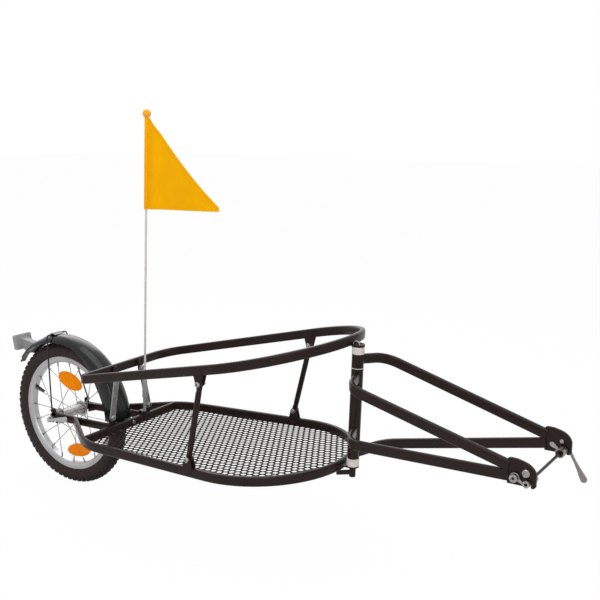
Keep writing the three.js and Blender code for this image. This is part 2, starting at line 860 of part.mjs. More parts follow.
function lugPlate(rearReach, halfWidth, bottomZ, thickness) {
  const shape = new THREE.Shape();
  shape.absarc(0, 0, halfWidth, -Math.PI / 2, Math.PI / 2);
  shape.lineTo(-rearReach, halfWidth);
  shape.lineTo(-rearReach, -halfWidth);
  const bore = drill(vec(0, 0, bottomZ), vec(0, 0, bottomZ + thickness), pinRadius);
  return cut(slab(shape, "z", bottomZ, bottomZ + thickness), bore);
}

function headLugTop() {
  const reach = headAxisX(topLugZ) - hoopNoseFront - fitGap;
  return lugPlate(reach, headLugHalfWidth, topLugZ, headLugThickness);
}

function headLugBottom() {
  const reach = headAxisX(bottomLugZ) - railNoseFront - fitGap;
  return lugPlate(reach, headLugHalfWidth, bottomLugZ, bottomLugThickness);
}

function headPin() {
  const neckTop = bottomLugZ - fitGap;
  const hubTop = neckTop - pinNeckLength;
  const hubBottom = hubTop - pinHubLength;
  const profile = [
    [0, hubBottom - pinNubLength],
    [pinNubRadius, hubBottom - pinNubLength],
    [pinNubRadius, hubBottom],
    [pinHubRadius, hubBottom],
    [pinHubRadius, hubTop],
    [pinNeckRadius, hubTop],
    [pinNeckRadius, neckTop],
    [pinRadius, neckTop],
    [pinRadius, topLugZ + headLugThickness - fitGap],
    [0, topLugZ + headLugThickness - fitGap],
  ];
  const armTop = vec(0, pinArmWidth / 2, pinArmHeight / 2);
  const arm = block(vec(-pinArmLength, -pinArmWidth / 2, -pinArmHeight / 2), armTop);
  arm.rotateY(radians(-pinArmDropDeg)).translate(0, 0, (hubTop + hubBottom) / 2 - fitGap);
  return joined(upright(turned(profile)), arm);
}

function pinKeeper() {
  const bottom = topLugZ + headLugThickness + fitGap;
  const outer = new THREE.Shape();
  outer.moveTo(-keeperRear, bottom);
  outer.absellipse(-keeperRear + keeperSpan / 2, bottom, keeperSpan / 2, keeperHeight, Math.PI, 0, true);
  outer.lineTo(-keeperRear + keeperSpan - keeperThickness, bottom);
  const innerSpan = keeperSpan / 2 - keeperThickness;
  const innerHeight = keeperHeight - keeperThickness;
  outer.absellipse(-keeperRear + keeperSpan / 2, bottom, innerSpan, innerHeight, 0, Math.PI, false);
  return slab(outer, "y", -keeperSide - keeperWidth / 2, -keeperSide + keeperWidth / 2);
}

// Fork: three sleeves in a row on the pin, the middle one on the right arm
const seamTopZ = headTubeTopZ - topSleeveLength;
const seamBottomZ = headTubeBottomZ + bottomSleeveLength;
const sleeveBore = headTubeRadius - headTubeWall;

function sleeve(bottom, top) {
  const profile = [
    [sleeveBore, bottom],
    [headTubeRadius, bottom],
    [headTubeRadius, top],
    [sleeveBore, top],
  ];
  return upright(turned(profile));
}

const headTube = () => sleeve(seamBottomZ + fitGap, seamTopZ - fitGap);
const inChassis = (geometry) => geometry.applyMatrix4(head.matrix);

function bush(lugFace, tubeEnd) {
  const inwards = Math.sign(tubeEnd - lugFace);
  const spigot = headTubeRadius - headTubeWall - fitGap;
  const bore = pinRadius + fitGap;
  const profile = [
    [bore, lugFace + inwards * fitGap],
    [bushRadius, lugFace + inwards * fitGap],
    [bushRadius, tubeEnd - inwards * fitGap],
    [spigot, tubeEnd - inwards * fitGap],
    [spigot, tubeEnd + inwards * bushSpigot],
    [bore, tubeEnd + inwards * bushSpigot],
  ];
  return upright(turned(profile));
}

// A leg leaves the head sideways, turns at its shoulder and runs on to the hitch plate
const legEndX = wheelBase - plateRear - fitGap;
function legLine(sign, rootZ, fall, endHalfWidth, endZ) {
  const shoulder = vec(shoulderX, sign * shoulderHalfWidth, rootZ - fall);
  const line = roundedLine([
    { at: vec(headAxisX(rootZ) - legStartReach, 0, rootZ) },
    { at: shoulder, radius: shoulderRadius, steps: shoulderSteps },
    { at: vec(legEndX, sign * endHalfWidth, endZ) },
  ]);
  return [...line, pastEnd(line)];
}

function upperLegLine({ sign, upperFall }) {
  const leftRootZ = headTubeTopZ - leftLegInset - tubeHeight / 2;
  const rightRootZ = seamTopZ - rightUpperInset - tubeHeight / 2;
  return legLine(sign, sign > 0 ? leftRootZ : rightRootZ, upperFall, upperLegEndHalfWidth, upperLegEndZ);
}

function lowerLegLine({ sign, lowerFall }) {
  const leftRootZ = headTubeBottomZ + leftLegInset + tubeHeight / 2;
  const rightRootZ = seamBottomZ + rightLowerInset + tubeHeight / 2;
  return legLine(sign, sign > 0 ? leftRootZ : rightRootZ, lowerFall, lowerLegEndHalfWidth, lowerLegEndZ);
}

// The left legs carry the outer sleeves, and the right legs stop just short of the head tube
function leg(line, { sign }, bottom, top) {
  const tubeLine = [vec(headAxisX(0), 0, 0), vec(headAxisX(topLugZ), 0, topLugZ)];
  const plate = block(vec(legEndX, -2 * plateInnerY, 0), vec(wheelBase, 2 * plateInnerY, topLugZ));
  const bare = cut(sweep(line, tubeOutline), plate);
  if (sign < 0) return cut(bare, rod(...tubeLine, headTubeRadius + fitGap));
  const open = cut(bare, rod(...tubeLine, headTubeRadius - headTubeWall / 2));
  return joined(open, inChassis(sleeve(bottom, top)));
}

function upperLeg(place) {
  return leg(upperLegLine(place), place, seamTopZ, headTubeTopZ);
}

function lowerLeg(place) {
  const lower = leg(lowerLegLine(place), place, headTubeBottomZ, seamBottomZ);
  return cut(lower, sweep(upperLegLine(place), clearOutline));
}

// The end of a line carried on a little, for an end that is cut off square to X
function pastEnd(line) {
  const travel = line.at(-1).clone().sub(line.at(-2)).normalize();
  return line.at(-1).clone().addScaledVector(travel, cutOverrun);
}

// Hitch parts, drawn about the hitch axle
function hitchPlate(sign) {
  const shape = new THREE.Shape();
  shape.moveTo(-plateRear, -plateBottom);
  shape.lineTo(-plateRear, plateRearTop);
  shape.lineTo(plateCrestX - plateShoulderRadius / 2, plateCrestZ);
  shape.lineTo(plateCrestX + plateShoulderRadius / 4, plateCrestZ - fitGap);
  shape.lineTo(plateShoulderX, plateShoulderZ);
  shape.quadraticCurveTo(plateCornerX, plateCornerZ, plateFront, plateBoltZ);
  shape.lineTo(plateFront, -plateToeDrop + plateToeRadius * 2);
  shape.lineTo(plateFront - plateToeRadius * 2, -plateToeDrop);
  shape.lineTo(slotHalfWidth, -plateToeDrop);
  shape.lineTo(slotHalfWidth, 0);
  shape.absarc(0, 0, slotHalfWidth, 0, Math.PI);
  shape.lineTo(-slotHalfWidth, -plateBottom);
  const inner = sign * plateInnerY;
  const outer = sign * (plateInnerY + plateThickness);
  const bores = [
    drill(vec(plateBoltX, inner, plateBoltZ), vec(plateBoltX, outer, plateBoltZ), boltRadius),
    drill(vec(catchPivotX, inner, catchPivotZ), vec(catchPivotX, outer, catchPivotZ), catchPinRadius),
  ];
  return cut(slab(shape, "y", inner, outer), ...bores);
}

function plateBolt(sign) {
  const from = vec(plateBoltX, sign * (plateInnerY + plateThickness), plateBoltZ);
  const to = vec(plateBoltX, sign * plateInnerY, plateBoltZ);
  return bolt(
    from,
    to,
    boltRadius,
    plateBoltHeadRadius,
    plateBoltHeadHeight,
    plateBoltTipRadius,
    plateBoltTipLength,
  );
}

function hitchCatch(sign) {
  const outerFace = sign * (plateInnerY + plateThickness + fitGap);
  const innerFace = sign * (plateInnerY - fitGap);
  const armOut = outerFace + sign * catchArmThickness;
  const washerOut = armOut + sign * catchWasherThickness;
  const pivot = flat(catchPivotX, catchPivotZ);
  const heel = flat(catchHeelX, catchHeelZ);
  const nose = flat(catchNoseX, catchNoseZ);
  const innerEnd = flat(catchInnerArmX, catchInnerArmZ);
  const innerArmFace = innerFace - sign * catchArmThickness;
  const at = (y) => vec(catchPivotX, y, catchPivotZ);
  return joined(
    slab(link(pivot, catchEyeRadius, heel, catchArmHalfWidth), "y", outerFace, armOut),
    slab(link(heel, catchArmHalfWidth, nose, catchNoseHalfWidth), "y", outerFace, armOut),
    slab(link(pivot, catchEyeRadius, innerEnd, catchInnerEndRadius), "y", innerArmFace, innerFace),
    rod(at(innerArmFace), at(armOut), catchPinRadius, smallSides),
    rod(at(armOut - sign * fitGap), at(washerOut), catchWasherRadius),
    rod(at(washerOut - sign * fitGap), at(washerOut + sign * catchKnobLength), catchKnobRadius),
  );
}

function hitchNut(sign) {
  const neckStart = hitchNutInnerY + hitchNutBodyLength;
  const rimStart = neckStart + hitchNeckLength;
  const bore = skewerRadius + fitGap;
  const profile = [
    [bore, hitchNutInnerY],
    [hitchNutRadius, hitchNutInnerY],
    [hitchNutRadius, neckStart],
    [hitchNeckRadius, neckStart],
    [hitchNeckRadius, rimStart],
    [hitchRimRadius, rimStart],
    [hitchRimRadius, rimStart + hitchRimLength],
    [bore, rimStart + hitchRimLength],
  ];
  const nut = turned(profile);
  return sign > 0 ? nut : nut.rotateX(Math.PI);
}

const hitchNutEnd = hitchNutInnerY + hitchNutBodyLength + hitchNeckLength + hitchRimLength;
const camStart = hitchNutEnd + fitGap;
const camEnd = camStart + hitchCamLength;

function hitchSkewer() {
  const profile = [
    [0, -hitchNutEnd + skewerRadius],
    [skewerRadius, -hitchNutEnd + skewerRadius],
    [skewerRadius, camStart],
    [hitchCamRadius, camStart],
    [hitchCamRadius, camEnd],
    [0, camEnd],
  ];
  return turned(profile);
}

// A cam lever that lies along X, with its cross barrel along Z at the origin
function camLever(length) {
  const arm = link(flat(0, 0), leverRootHalfWidth, flat(length - leverTipHalfWidth, 0), leverTipHalfWidth);
  const blade = slab(arm, "y", -leverThickness / 2, leverThickness / 2);
  const half = leverBarrelLength / 2;
  return joined(blade, rod(vec(0, 0, -half), vec(0, 0, half), leverBarrelRadius, smallSides));
}

// Wheel, turned about its axle
function tyreArc(radius) {
  const edge = radians(tyreEdgeDeg);
  const points = [];
  for (let k = 0; k <= tyreSteps; k++) {
    const turn = (k / tyreSteps) * (Math.PI + 2 * edge) - edge;
    points.push([tyreSectionCentre + radius * Math.sin(turn), radius * Math.cos(turn)]);
  }
  return points;
}

const rimEdge = rimFlangeRadius + 2 * fitGap;
const tyreHollow = tyreSectionRadius - tyreWall;
const beadInner = beadHalfWidth - beadThickness;

function tyre() {
  const profile = [
    [beadRadius, beadHalfWidth],
    [rimEdge, beadHalfWidth],
    ...tyreArc(tyreSectionRadius),
    [rimEdge, -beadHalfWidth],
    [beadRadius, -beadHalfWidth],
    [beadRadius, -beadInner],
    [rimEdge, -beadInner],
    ...tyreArc(tyreHollow).reverse(),
    [rimEdge, beadInner],
    [beadRadius, beadInner],
  ];
  return turned(profile, wheelSides);
}

const valveHeading = vec(Math.cos(radians(valveDeg)), 0, Math.sin(radians(valveDeg)));
const onValve = (radius) => valveHeading.clone().multiplyScalar(radius);

// The blown up tube fills the tyre down to the well of the rim
function innerTube() {
  const bottom = rimWellRadius + fitGap;
  const neck = beadInner - fitGap;
  const crown = tyreArc(tyreHollow - fitGap);
  const profile = [[bottom, neck], [rimEdge, neck], ...crown, [rimEdge, -neck], [bottom, -neck]];
  const valve = rod(onValve(valveTipRadius), onValve(rimEdge), valveRadius, smallSides);
  return joined(turned(profile, wheelSides), valve);
}

function rim() {
  const inside = rimHalfWidth - rimWall;
  const profile = [
    [rimFlangeRadius, rimHalfWidth],
    [rimFlangeRadius, inside],
    [rimWellRadius, inside],
    [rimWellRadius, -inside],
    [rimFlangeRadius, -inside],
    [rimFlangeRadius, -rimHalfWidth],
    [rimShoulderRadius, -rimHalfWidth],
    [rimInnerRadius, -rimFloorHalfWidth],
    [rimInnerRadius, rimFloorHalfWidth],
    [rimShoulderRadius, rimHalfWidth],
  ];
  const valveHole = drill(onValve(rimInnerRadius), onValve(rimWellRadius), valveRadius);
  return cut(turned(profile, wheelSides), valveHole);
}

function hubAndSpokes() {
  const outerFace = flangeHalfGauge + flangeThickness / 2;
  const innerFace = flangeHalfGauge - flangeThickness / 2;
  const half = [
    [barrelRadius, innerFace],
    [flangeRadius, innerFace],
    [flangeRadius, outerFace],
    [hubEndRadius, outerFace],
    [hubEndRadius, outerFace + hubEndLength],
    [hubBore, outerFace + hubEndLength],
  ];
  const profile = [...half, ...half.map(([radius, height]) => [radius, -height]).reverse()];
  const shell = turned(profile);
  const rimFlat = rimInnerRadius * Math.cos(Math.PI / wheelSides);
  const spokes = [];
  for (let k = 0; k < spokeCount; k++) {
    const rimTurn = (k / spokeCount) * 2 * Math.PI;
    const lean = radians(spokeLeanDeg) * (k % 4 < 2 ? 1 : -1);
    const y = k % 2 ? flangeHalfGauge : -flangeHalfGauge;
    const spread = (radius, turn, height) => vec(radius * Math.cos(turn), height, radius * Math.sin(turn));
    const inner = spread(spokeCircle, rimTurn + lean, y);
    const outer = spread(rimFlat - fitGap - spokeRadius / 2, rimTurn, 0);
    spokes.push(rod(inner, outer, spokeRadius, spokeSides));
  }
  return joined(shell, ...spokes);
}

function spokeReflector(share, inset) {
  const outline = new THREE.Shape();
  outline.absellipse(0, 0, reflectorHalfLength, reflectorHalfWidth, 0, 2 * Math.PI);
  const plate = slab(outline, "y", -reflectorThickness / 2, reflectorThickness / 2);
  plate.rotateX(radians(-reflectorTiltDeg)).translate(0, -inset, reflectorCentreRadius);
  return plate.rotateY(Math.PI / 2 - share * 2 * Math.PI);
}

// Wheel axle with its cones and locknuts
const dropoutInner = stayHalfGauge - dropoutThickness / 2;
const dropoutOuter = stayHalfGauge + dropoutThickness / 2;

function axle() {
  const coneStart = flangeHalfGauge + flangeThickness / 2 + coneEndGap;
  const half = [
    [axleRadius, coneStart],
    [coneRadius, coneStart],
    [coneRadius, dropoutInner - fitGap],
    [axleRadius, dropoutInner - fitGap],
    [axleRadius, dropoutOuter - fitGap],
    [axleBore, dropoutOuter - fitGap],
  ];
  const profile = [...half, ...half.map(([radius, height]) => [radius, -height]).reverse()];
  return turned(profile);
}

const axleFace = dropoutOuter + fitGap;
const axleCamEnd = axleFace + axleCamLength;

function axleSkewer() {
  const profile = [
    [0, -axleCamEnd],
    [axleNutRadius, -axleCamEnd],
    [axleNutRadius, -axleFace],
    [axleSkewerRadius, -axleFace],
    [axleSkewerRadius, axleFace],
    [axleNutRadius, axleFace],
    [axleNutRadius, axleFace + axleNutLength],
    [0, axleFace + axleNutLength],
  ];
  return turned(profile);
}

// Mudguard: an arched section swept round the wheel, its skirts deeper at the front
function guardStation(degrees, radius, halfWidth, drop, skirt) {
  const turn = radians(degrees);
  const up = vec(Math.cos(turn), 0, Math.sin(turn));
  const at = vec(guardCentreX, 0, guardCentreZ).addScaledVector(up, radius);
  const crown = (inset) => {
    const points = [flat(halfWidth - inset, -skirt)];
    for (let k = 0; k <= 2 * guardCrownSteps; k++) {
      const lean = (k / guardCrownSteps - 1) * (Math.PI / 2);
      const x = -(halfWidth - inset) * Math.sin(lean);
      points.push(flat(x, -drop + (drop - inset) * Math.cos(lean)));
    }
    return [...points, flat(-halfWidth + inset, -skirt)];
  };
  const outline = [...crown(0), ...crown(guardWall).reverse()];
  return { at, up, across: yAxis.clone(), outline };
}

function arc(fromDeg, toDeg, steps, station) {
  const stations = [];
  for (let k = 0; k <= steps; k++) {
    stations.push(station(THREE.MathUtils.lerp(fromDeg, toDeg, k / steps)));
  }
  return loft(stations);
}

function guardScrewHole() {
  const from = vec(guardCentreX + guardRadius - guardWall, 0, guardScrewZ);
  return drill(from, vec(guardCentreX + guardRadius, 0, guardScrewZ), smallBoltRadius);
}

function mudguard() {
  const shell = arc(guardRearDeg, guardFrontDeg, guardSteps, (degrees) => {
    const shallow = THREE.MathUtils.smoothstep(degrees, skirtDeepDeg, skirtShallowDeg);
    const skirt = THREE.MathUtils.lerp(guardDeepSkirt, guardShallowSkirt, shallow);
    return guardStation(degrees, guardRadius, guardHalfWidth, guardShoulderDrop, skirt);
  });
  return cut(shell, guardScrewHole());
}

function mudguardTail() {
  const radius = guardRadius - guardWall - fitGap;
  const halfWidth = guardHalfWidth - guardWall - tailSideGap;
  const drop = guardShoulderDrop - guardWall;
  const shell = arc(tailRearDeg, tailFrontDeg, tailSteps, (degrees) =>
    guardStation(degrees, radius, halfWidth, drop, tailSkirt),
  );
  const tongueOutline = [
    flat(tongueHalfWidth, -guardWall),
    flat(tongueHalfWidth, 0),
    flat(-tongueHalfWidth, 0),
    flat(-tongueHalfWidth, -guardWall),
  ];
  const sunk = (drop * tongueHalfWidth ** 2) / (2 * halfWidth ** 2);
  const tongue = arc(tongueRearDeg, tailRearDeg - tongueLapDeg, tongueSteps, (degrees) => {
    const station = guardStation(degrees, radius - sunk / 2, halfWidth, drop, tailSkirt);
    return { ...station, outline: tongueOutline };
  });
  return joined(shell, tongue);
}

function guardPoint(degrees, radius = guardRadius) {
  const around = radians(degrees);
  return flat(guardCentreX + radius * Math.cos(around), guardCentreZ + radius * Math.sin(around));
}
const wireDeg = THREE.MathUtils.radToDeg(Math.acos((stayWireX - guardCentreX) / guardRadius));

function stayWire() {
  const outside = dropoutOuter + stayWireStandoff + stayWireRadius;
  const topZ = guardPoint(wireDeg, guardRadius + fitGap + stayWireRadius).y;
  const line = roundedLine([
    { at: vec(eyeletX, -outside, eyeletZ) },
    { at: vec(stayWireX, -stayWireShoulderY, topZ), radius: stayWireBend },
    { at: vec(stayWireX, stayWireShoulderY, topZ), radius: stayWireBend },
    { at: vec(eyeletX, outside, eyeletZ) },
  ]);
  const eyes = sides.map(({ sign }) => {
    const inner = vec(eyeletX, sign * (dropoutInner - 2 * fitGap), eyeletZ);
    const outer = vec(eyeletX, sign * (outside + stayWireRadius), eyeletZ);
    return rod(inner, outer, eyeletBore - fitGap, smallSides);
  });
  const wire = sweepRound(line, stayWireRadius, stayWireSides);
  return joined(wire, ...eyes);
}

// A round wire along a line that climbs and crosses, framed by the line's own turns
function sweepRound(line, radius, count) {
  let across = xAxis;
  const stations = line.map((at, i) => {
    const before = line[i - 1] ?? at;
    const after = line[i + 1] ?? at;
    const travel = at.clone().sub(before).normalize().add(after.clone().sub(at).normalize()).normalize();
    across = across.clone().addScaledVector(travel, -across.dot(travel)).normalize();
    return { at, across, up: travel.clone().cross(across), outline: roundOutline(radius, count) };
  });
  return loft(stations);
}

function guardBridge() {
  const low = guardRadius + fitGap;
  const high = low + 2 * stayWireRadius + fitGap;
  const turns = [
    -bridgeHumpDeg - bridgeFootDeg,
    -bridgeHumpDeg,
    -bridgeHumpDeg / 2,
    bridgeHumpDeg / 2,
    bridgeHumpDeg,
    bridgeHumpDeg + bridgeFootDeg,
  ];
  const radii = [low, low, high, high, low, low];
  const under = turns.map((turn, i) => guardPoint(wireDeg + turn, radii[i]));
  const over = turns.map((turn, i) => guardPoint(wireDeg + turn, radii[i] + bridgeThickness));
  return slab(new THREE.Shape([...under, ...over.reverse()]), "y", -bridgeHalfWidth, bridgeHalfWidth);
}

function guardScrew() {
  const frontX = crossbarX + tubeWidth / 2;
  const rearX = crossbarX - tubeWidth / 2 - fitGap;
  const guardX = guardCentreX + guardRadius;
  const at = (x) => vec(x, 0, guardScrewZ);
  const screw = bolt(
    at(frontX),
    at(guardX - guardWall - guardScrewSeat),
    smallBoltRadius,
    smallBoltHeadRadius,
    smallBoltHeadHeight,
    smallBoltHeadRadius - 1,
    smallBoltHeadHeight / 2,
  );
  return joined(screw, rod(at(guardX + fitGap), at(rearX), guardSpacerRadius, smallSides));
}

// Rear reflector
const lampFrame = new THREE.Group();
const lampBack = guardPoint(lampDeg, guardRadius + lampStandoff);
lampFrame.position.set(lampBack.x + (lampHeight / 4) * slopeOf(lampTiltDeg), 0, lampBack.y);
lampFrame.rotation.y = radians(-lampTiltDeg);
chassis.add(lampFrame);

function outlineShape(width, height, corner) {
  return new THREE.Shape(roundedOutline(width, height, corner));
}

function reflectorHousing() {
  const shell = slab(outlineShape(2 * lampHalfWidth, lampHeight, lampCorner), "x", -lampThickness, 0);
  const recess = slab(
    outlineShape(2 * (lampHalfWidth - lampLensInset), lampHeight - 2 * lampLensInset, lampCorner / 2),
    "x",
    -lampThickness - cutOverrun,
    -lampThickness + lampLensThickness + fitGap,
  );
  const inverse = new THREE.Matrix4().makeRotationY(lampFrame.rotation.y);
  inverse.setPosition(lampFrame.position).invert();
  const bracketRadius = guardRadius - guardWall - fitGap;
  const foot = [lampBracketTopDeg, (lampBracketTopDeg + lampBracketBottomDeg) / 2, lampBracketBottomDeg];
  const seat = foot.map((degrees) => guardPoint(degrees, bracketRadius + fitGap));
  const back = [-lampBracketHalfHeight, lampBracketHalfHeight].map((z) => {
    const point = vec(-lampThickness / 4, 0, z).applyMatrix4(inverse.clone().invert());
    return flat(point.x, point.z);
  });
  const gusset = slab(new THREE.Shape([...back, ...seat]), "y", -lampBracketHalfWidth, lampBracketHalfWidth);
  return joined(cut(shell, recess), gusset.applyMatrix4(inverse));
}

function reflectorLens() {
  const width = 2 * (lampHalfWidth - lampLensInset - fitGap);
  const height = lampHeight - 2 * (lampLensInset + fitGap);
  const start = -lampThickness;
  return slab(outlineShape(width, height, lampCorner / 2), "x", start, start + lampLensThickness);
}

// Flag, pole and socket stand in a group that leans with the pole
const mast = new THREE.Group();
mast.position.set(flagX, flagY, crossbarTop);
mast.rotation.y = radians(flagLeanDeg);
chassis.add(mast);

function flagSocket() {
  const bore = stubRadius + fitGap;
  const profile = [
    [bore, fitGap],
    [socketRadius, fitGap],
    [socketRadius, socketHeight],
    [bore, socketHeight],
  ];
  const foot = block(
    vec(-socketRadius - socketFootRear, -socketFootHalfWidth, fitGap),
    vec(-bore - fitGap, socketFootHalfWidth, socketHeight),
  );
  return joined(upright(turned(profile)), foot);
}

function poleBase() {
  const top = stubLength + ferruleLength;
  const bore = poleRadius + fitGap;
  const profile = [
    [0, fitGap],
    [stubRadius, fitGap],
    [stubRadius, stubLength],
    [ferruleRadius, stubLength],
    [ferruleRadius, top],
    [bore, top],
    [bore, top - poleSink - fitGap],
    [0, top - poleSink - fitGap],
  ];
  return upright(turned(profile));
}

function flagPole() {
  const bottom = stubLength + ferruleLength - poleSink;
  const profile = [[0, bottom], [poleRadius, bottom], [poleRadius, poleTop], [0, poleTop]];
  return upright(turned(profile, smallSides));
}

function flagBall() {
  const ball = new THREE.SphereGeometry(ballRadius, roundSides, smallSides).translate(0, 0, ballCentre);
  const socketTop = vec(0, 0, poleTop + fitGap);
  return cut(ball, rod(vec(0, 0, ballCentre - 2 * ballRadius), socketTop, poleRadius + fitGap));
}

// Pennant: a sleeve on the pole and a tapering sheet with one soft fold beside the sleeve
function pennant() {
  const bore = poleRadius + fitGap;
  const ends = [flagBottom, flagTop];
  const wall = [[bore, ends[0]], [sleeveRadius, ends[0]], [sleeveRadius, ends[1]], [bore, ends[1]]];
  const rootX = (sleeveRadius + bore) / 2;
  const stations = [];
  for (let k = 0; k <= flagAcross; k++) {
    const x = THREE.MathUtils.lerp(rootX, flagReach, (k / flagAcross) ** 1.3);
    const low = THREE.MathUtils.mapLinear(x, rootX, flagReach, flagBottom + fitGap, flagTipBottom);
    const share = Math.max(0, THREE.MathUtils.mapLinear(x, flagShoulderX, flagReach, 0, 1));
    const slope = THREE.MathUtils.lerp(flagTop, flagTipTop, share) - 4 * flagSlopeSag * share * (1 - share);
    const high = Math.min(flagTop - fitGap, slope);
    const fold = flagFoldDepth * Math.exp(-(((x - flagFoldX) / flagFoldWidth) ** 2));
    const front = [];
    const behind = [];
    for (let j = 0; j <= flagUp; j++) {
      const height = THREE.MathUtils.lerp(low, high, j / flagUp);
      const along = (x - rootX + flagWaveLean * (height - low)) / flagWaveLength;
      const wave = flagWaveDepth * ((x - rootX) / flagReach) * Math.sin(2 * Math.PI * along);
      front.push(flat(wave - fold + flagThickness / 2, height));
      behind.push(flat(wave - fold - flagThickness / 2, height));
    }
    stations.push({ at: vec(x, 0, 0), across: yAxis, up: zAxis, outline: [...front, ...behind.reverse()] });
  }
  return joined(upright(turned(wall, smallSides)), loft(stations));
}

// Frame
piece("lower_hoop", lowerHoop(), blackPaint);
piece("crossbar", crossbar(), blackPaint);
piece("floor_sheet", floorSheet(), blackPaint);
piece("cargo_hoop", cargoHoop(), blackPaint);
sides.forEach(({ side, sign }, i) => {
  piece("chainstay_" + side, chainstay(sign), blackPaint);
  piece("strut_" + side, strut(strutFeet[i], strutHeads[i]), blackPaint);
  piece("strut_foot_bolt_" + side, strutBolt(strutFeet[i], sign), zinc);
  piece("strut_head_bolt_" + side, strutBolt(strutHeads[i], sign), zinc);
  piece("hoop_bracket_" + side, bracket(sign), zinc);
  piece("bracket_foot_bolt_" + side, bracketBolt(sign * bracketFootY, bracketFootZ), zinc);
  piece("bracket_head_bolt_" + side, bracketBolt(sign * bracketHeadY, bracketHeadZ), zinc);
});
piece("head_lug_top", headLugTop(), blackPaint, head);
piece("head_lug_bottom", headLugBottom(), blackPaint, head);
piece("pin_keeper", pinKeeper(), zinc, head);
piece("head_pin", headPin(), blackPaint, head);

// Fork and hitch
piece("head_tube", headTube(), blackPaint, head);
piece("bush_top", bush(topLugZ, headTubeTopZ), creamPlastic, head);
piece("bush_bottom", bush(bottomLugZ + bottomLugThickness, headTubeBottomZ), creamPlastic, head);
sides.forEach((place) => {
  const { side, sign } = place;
  piece("fork_upper_" + side, upperLeg(place), blackPaint);
  piece("fork_lower_" + side, lowerLeg(place), blackPaint);
  piece("hitch_plate_" + side, hitchPlate(sign), blackPaint, trailer);
  piece("plate_bolt_" + side, plateBolt(sign), zinc, trailer);
  piece("hitch_catch_" + side, hitchCatch(sign), zinc, trailer);
  piece("hitch_nut_" + side, hitchNut(sign), zinc, trailer);
});
piece("hitch_skewer", hitchSkewer(), zinc, trailer);
const hitchLever = piece("hitch_lever", camLever(hitchLeverLength), alloy, trailer);
hitchLever.position.set(0, camEnd + leverBarrelRadius + fitGap, 0);
hitchLever.rotation.y = radians(hitchLeverDeg);

// Wheel and axle
piece("tyre", tyre(), blackRubber);
piece("inner_tube", innerTube(), blackRubber);
piece("rim", rim(), alloy);
piece("hub_and_spokes", hubAndSpokes(), alloy);
const { upper, lower } = reflectorTurnShares;
piece("spoke_reflector_upper", spokeReflector(upper, upperReflectorInset), orangePlastic);
piece("spoke_reflector_lower", spokeReflector(lower, lowerReflectorInset), orangePlastic);
piece("wheel_axle", axle(), zinc);
piece("wheel_skewer", axleSkewer(), zinc);
const wheelLever = piece("wheel_lever", camLever(axleLeverLength), alloy);
wheelLever.position.set(0, -axleCamEnd - leverBarrelRadius - fitGap, 0);
wheelLever.rotation.y = radians(axleLeverDeg);

// Mudguard and reflector
piece("mudguard", mudguard(), blackPlastic);
piece("mudguard_tail", mudguardTail(), blackPlastic);
piece("mudguard_stay", stayWire(), zinc);
piece("mudguard_bridge", guardBridge(), zinc);
piece("mudguard_screw", guardScrew(), zinc);
piece("reflector_housing", reflectorHousing(), greyPlastic, lampFrame);
piece("reflector_lens", reflectorLens(), redPlastic, lampFrame);

// Flag
piece("flag_socket", flagSocket(), blackPlastic, mast);
piece("flag_pole_base", poleBase(), greyPlastic, mast);
piece("flag_pole", flagPole(), poleFibre, mast);
piece("flag_ball", flagBall(), orangePlastic, mast);
piece("flag_pennant", pennant(), yellowCloth, mast);

export default trailer;
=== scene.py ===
# %% [markdown]
# # A single wheel touring trailer, dressed in Blender
# A bent tube bed on one small wheel is towed by a fork that clamps to a bicycle's rear axle. This lesson
# takes the plain CAD model, keeps every place and size, and gives each piece its real shape and finish.

# %% Load the plain model
import json
import math

import bpy
from mathutils import Matrix, Vector

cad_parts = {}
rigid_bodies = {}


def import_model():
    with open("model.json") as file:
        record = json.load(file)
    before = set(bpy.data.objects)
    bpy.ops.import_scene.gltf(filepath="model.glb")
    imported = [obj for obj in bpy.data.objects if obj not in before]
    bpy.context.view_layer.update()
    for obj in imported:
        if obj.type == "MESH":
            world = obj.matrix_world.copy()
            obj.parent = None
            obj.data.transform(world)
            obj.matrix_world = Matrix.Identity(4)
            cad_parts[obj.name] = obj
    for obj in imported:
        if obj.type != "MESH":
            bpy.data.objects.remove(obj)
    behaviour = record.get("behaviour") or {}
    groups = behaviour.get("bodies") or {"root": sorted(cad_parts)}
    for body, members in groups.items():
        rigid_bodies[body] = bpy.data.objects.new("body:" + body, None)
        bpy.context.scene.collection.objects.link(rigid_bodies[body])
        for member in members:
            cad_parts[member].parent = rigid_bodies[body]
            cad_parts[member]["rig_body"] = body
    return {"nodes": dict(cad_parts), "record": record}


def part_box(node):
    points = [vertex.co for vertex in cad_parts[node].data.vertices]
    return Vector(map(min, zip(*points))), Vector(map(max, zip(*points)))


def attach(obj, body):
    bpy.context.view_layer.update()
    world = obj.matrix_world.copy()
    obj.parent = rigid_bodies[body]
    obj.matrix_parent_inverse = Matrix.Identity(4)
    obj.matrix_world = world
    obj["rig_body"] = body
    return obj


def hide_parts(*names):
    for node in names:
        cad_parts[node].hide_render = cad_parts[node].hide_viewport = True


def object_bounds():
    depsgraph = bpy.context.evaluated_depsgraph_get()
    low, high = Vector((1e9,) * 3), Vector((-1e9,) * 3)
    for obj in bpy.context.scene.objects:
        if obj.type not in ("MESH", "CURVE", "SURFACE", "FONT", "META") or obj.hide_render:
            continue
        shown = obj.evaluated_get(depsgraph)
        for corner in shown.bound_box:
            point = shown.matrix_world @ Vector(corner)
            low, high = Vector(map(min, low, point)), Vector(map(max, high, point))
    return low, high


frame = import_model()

cad_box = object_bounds()
slot_of = {part["node"]: part["material_slot"] for part in frame["record"]["subparts"]}
body_of = {name: node["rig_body"] for name, node in frame["nodes"].items()}

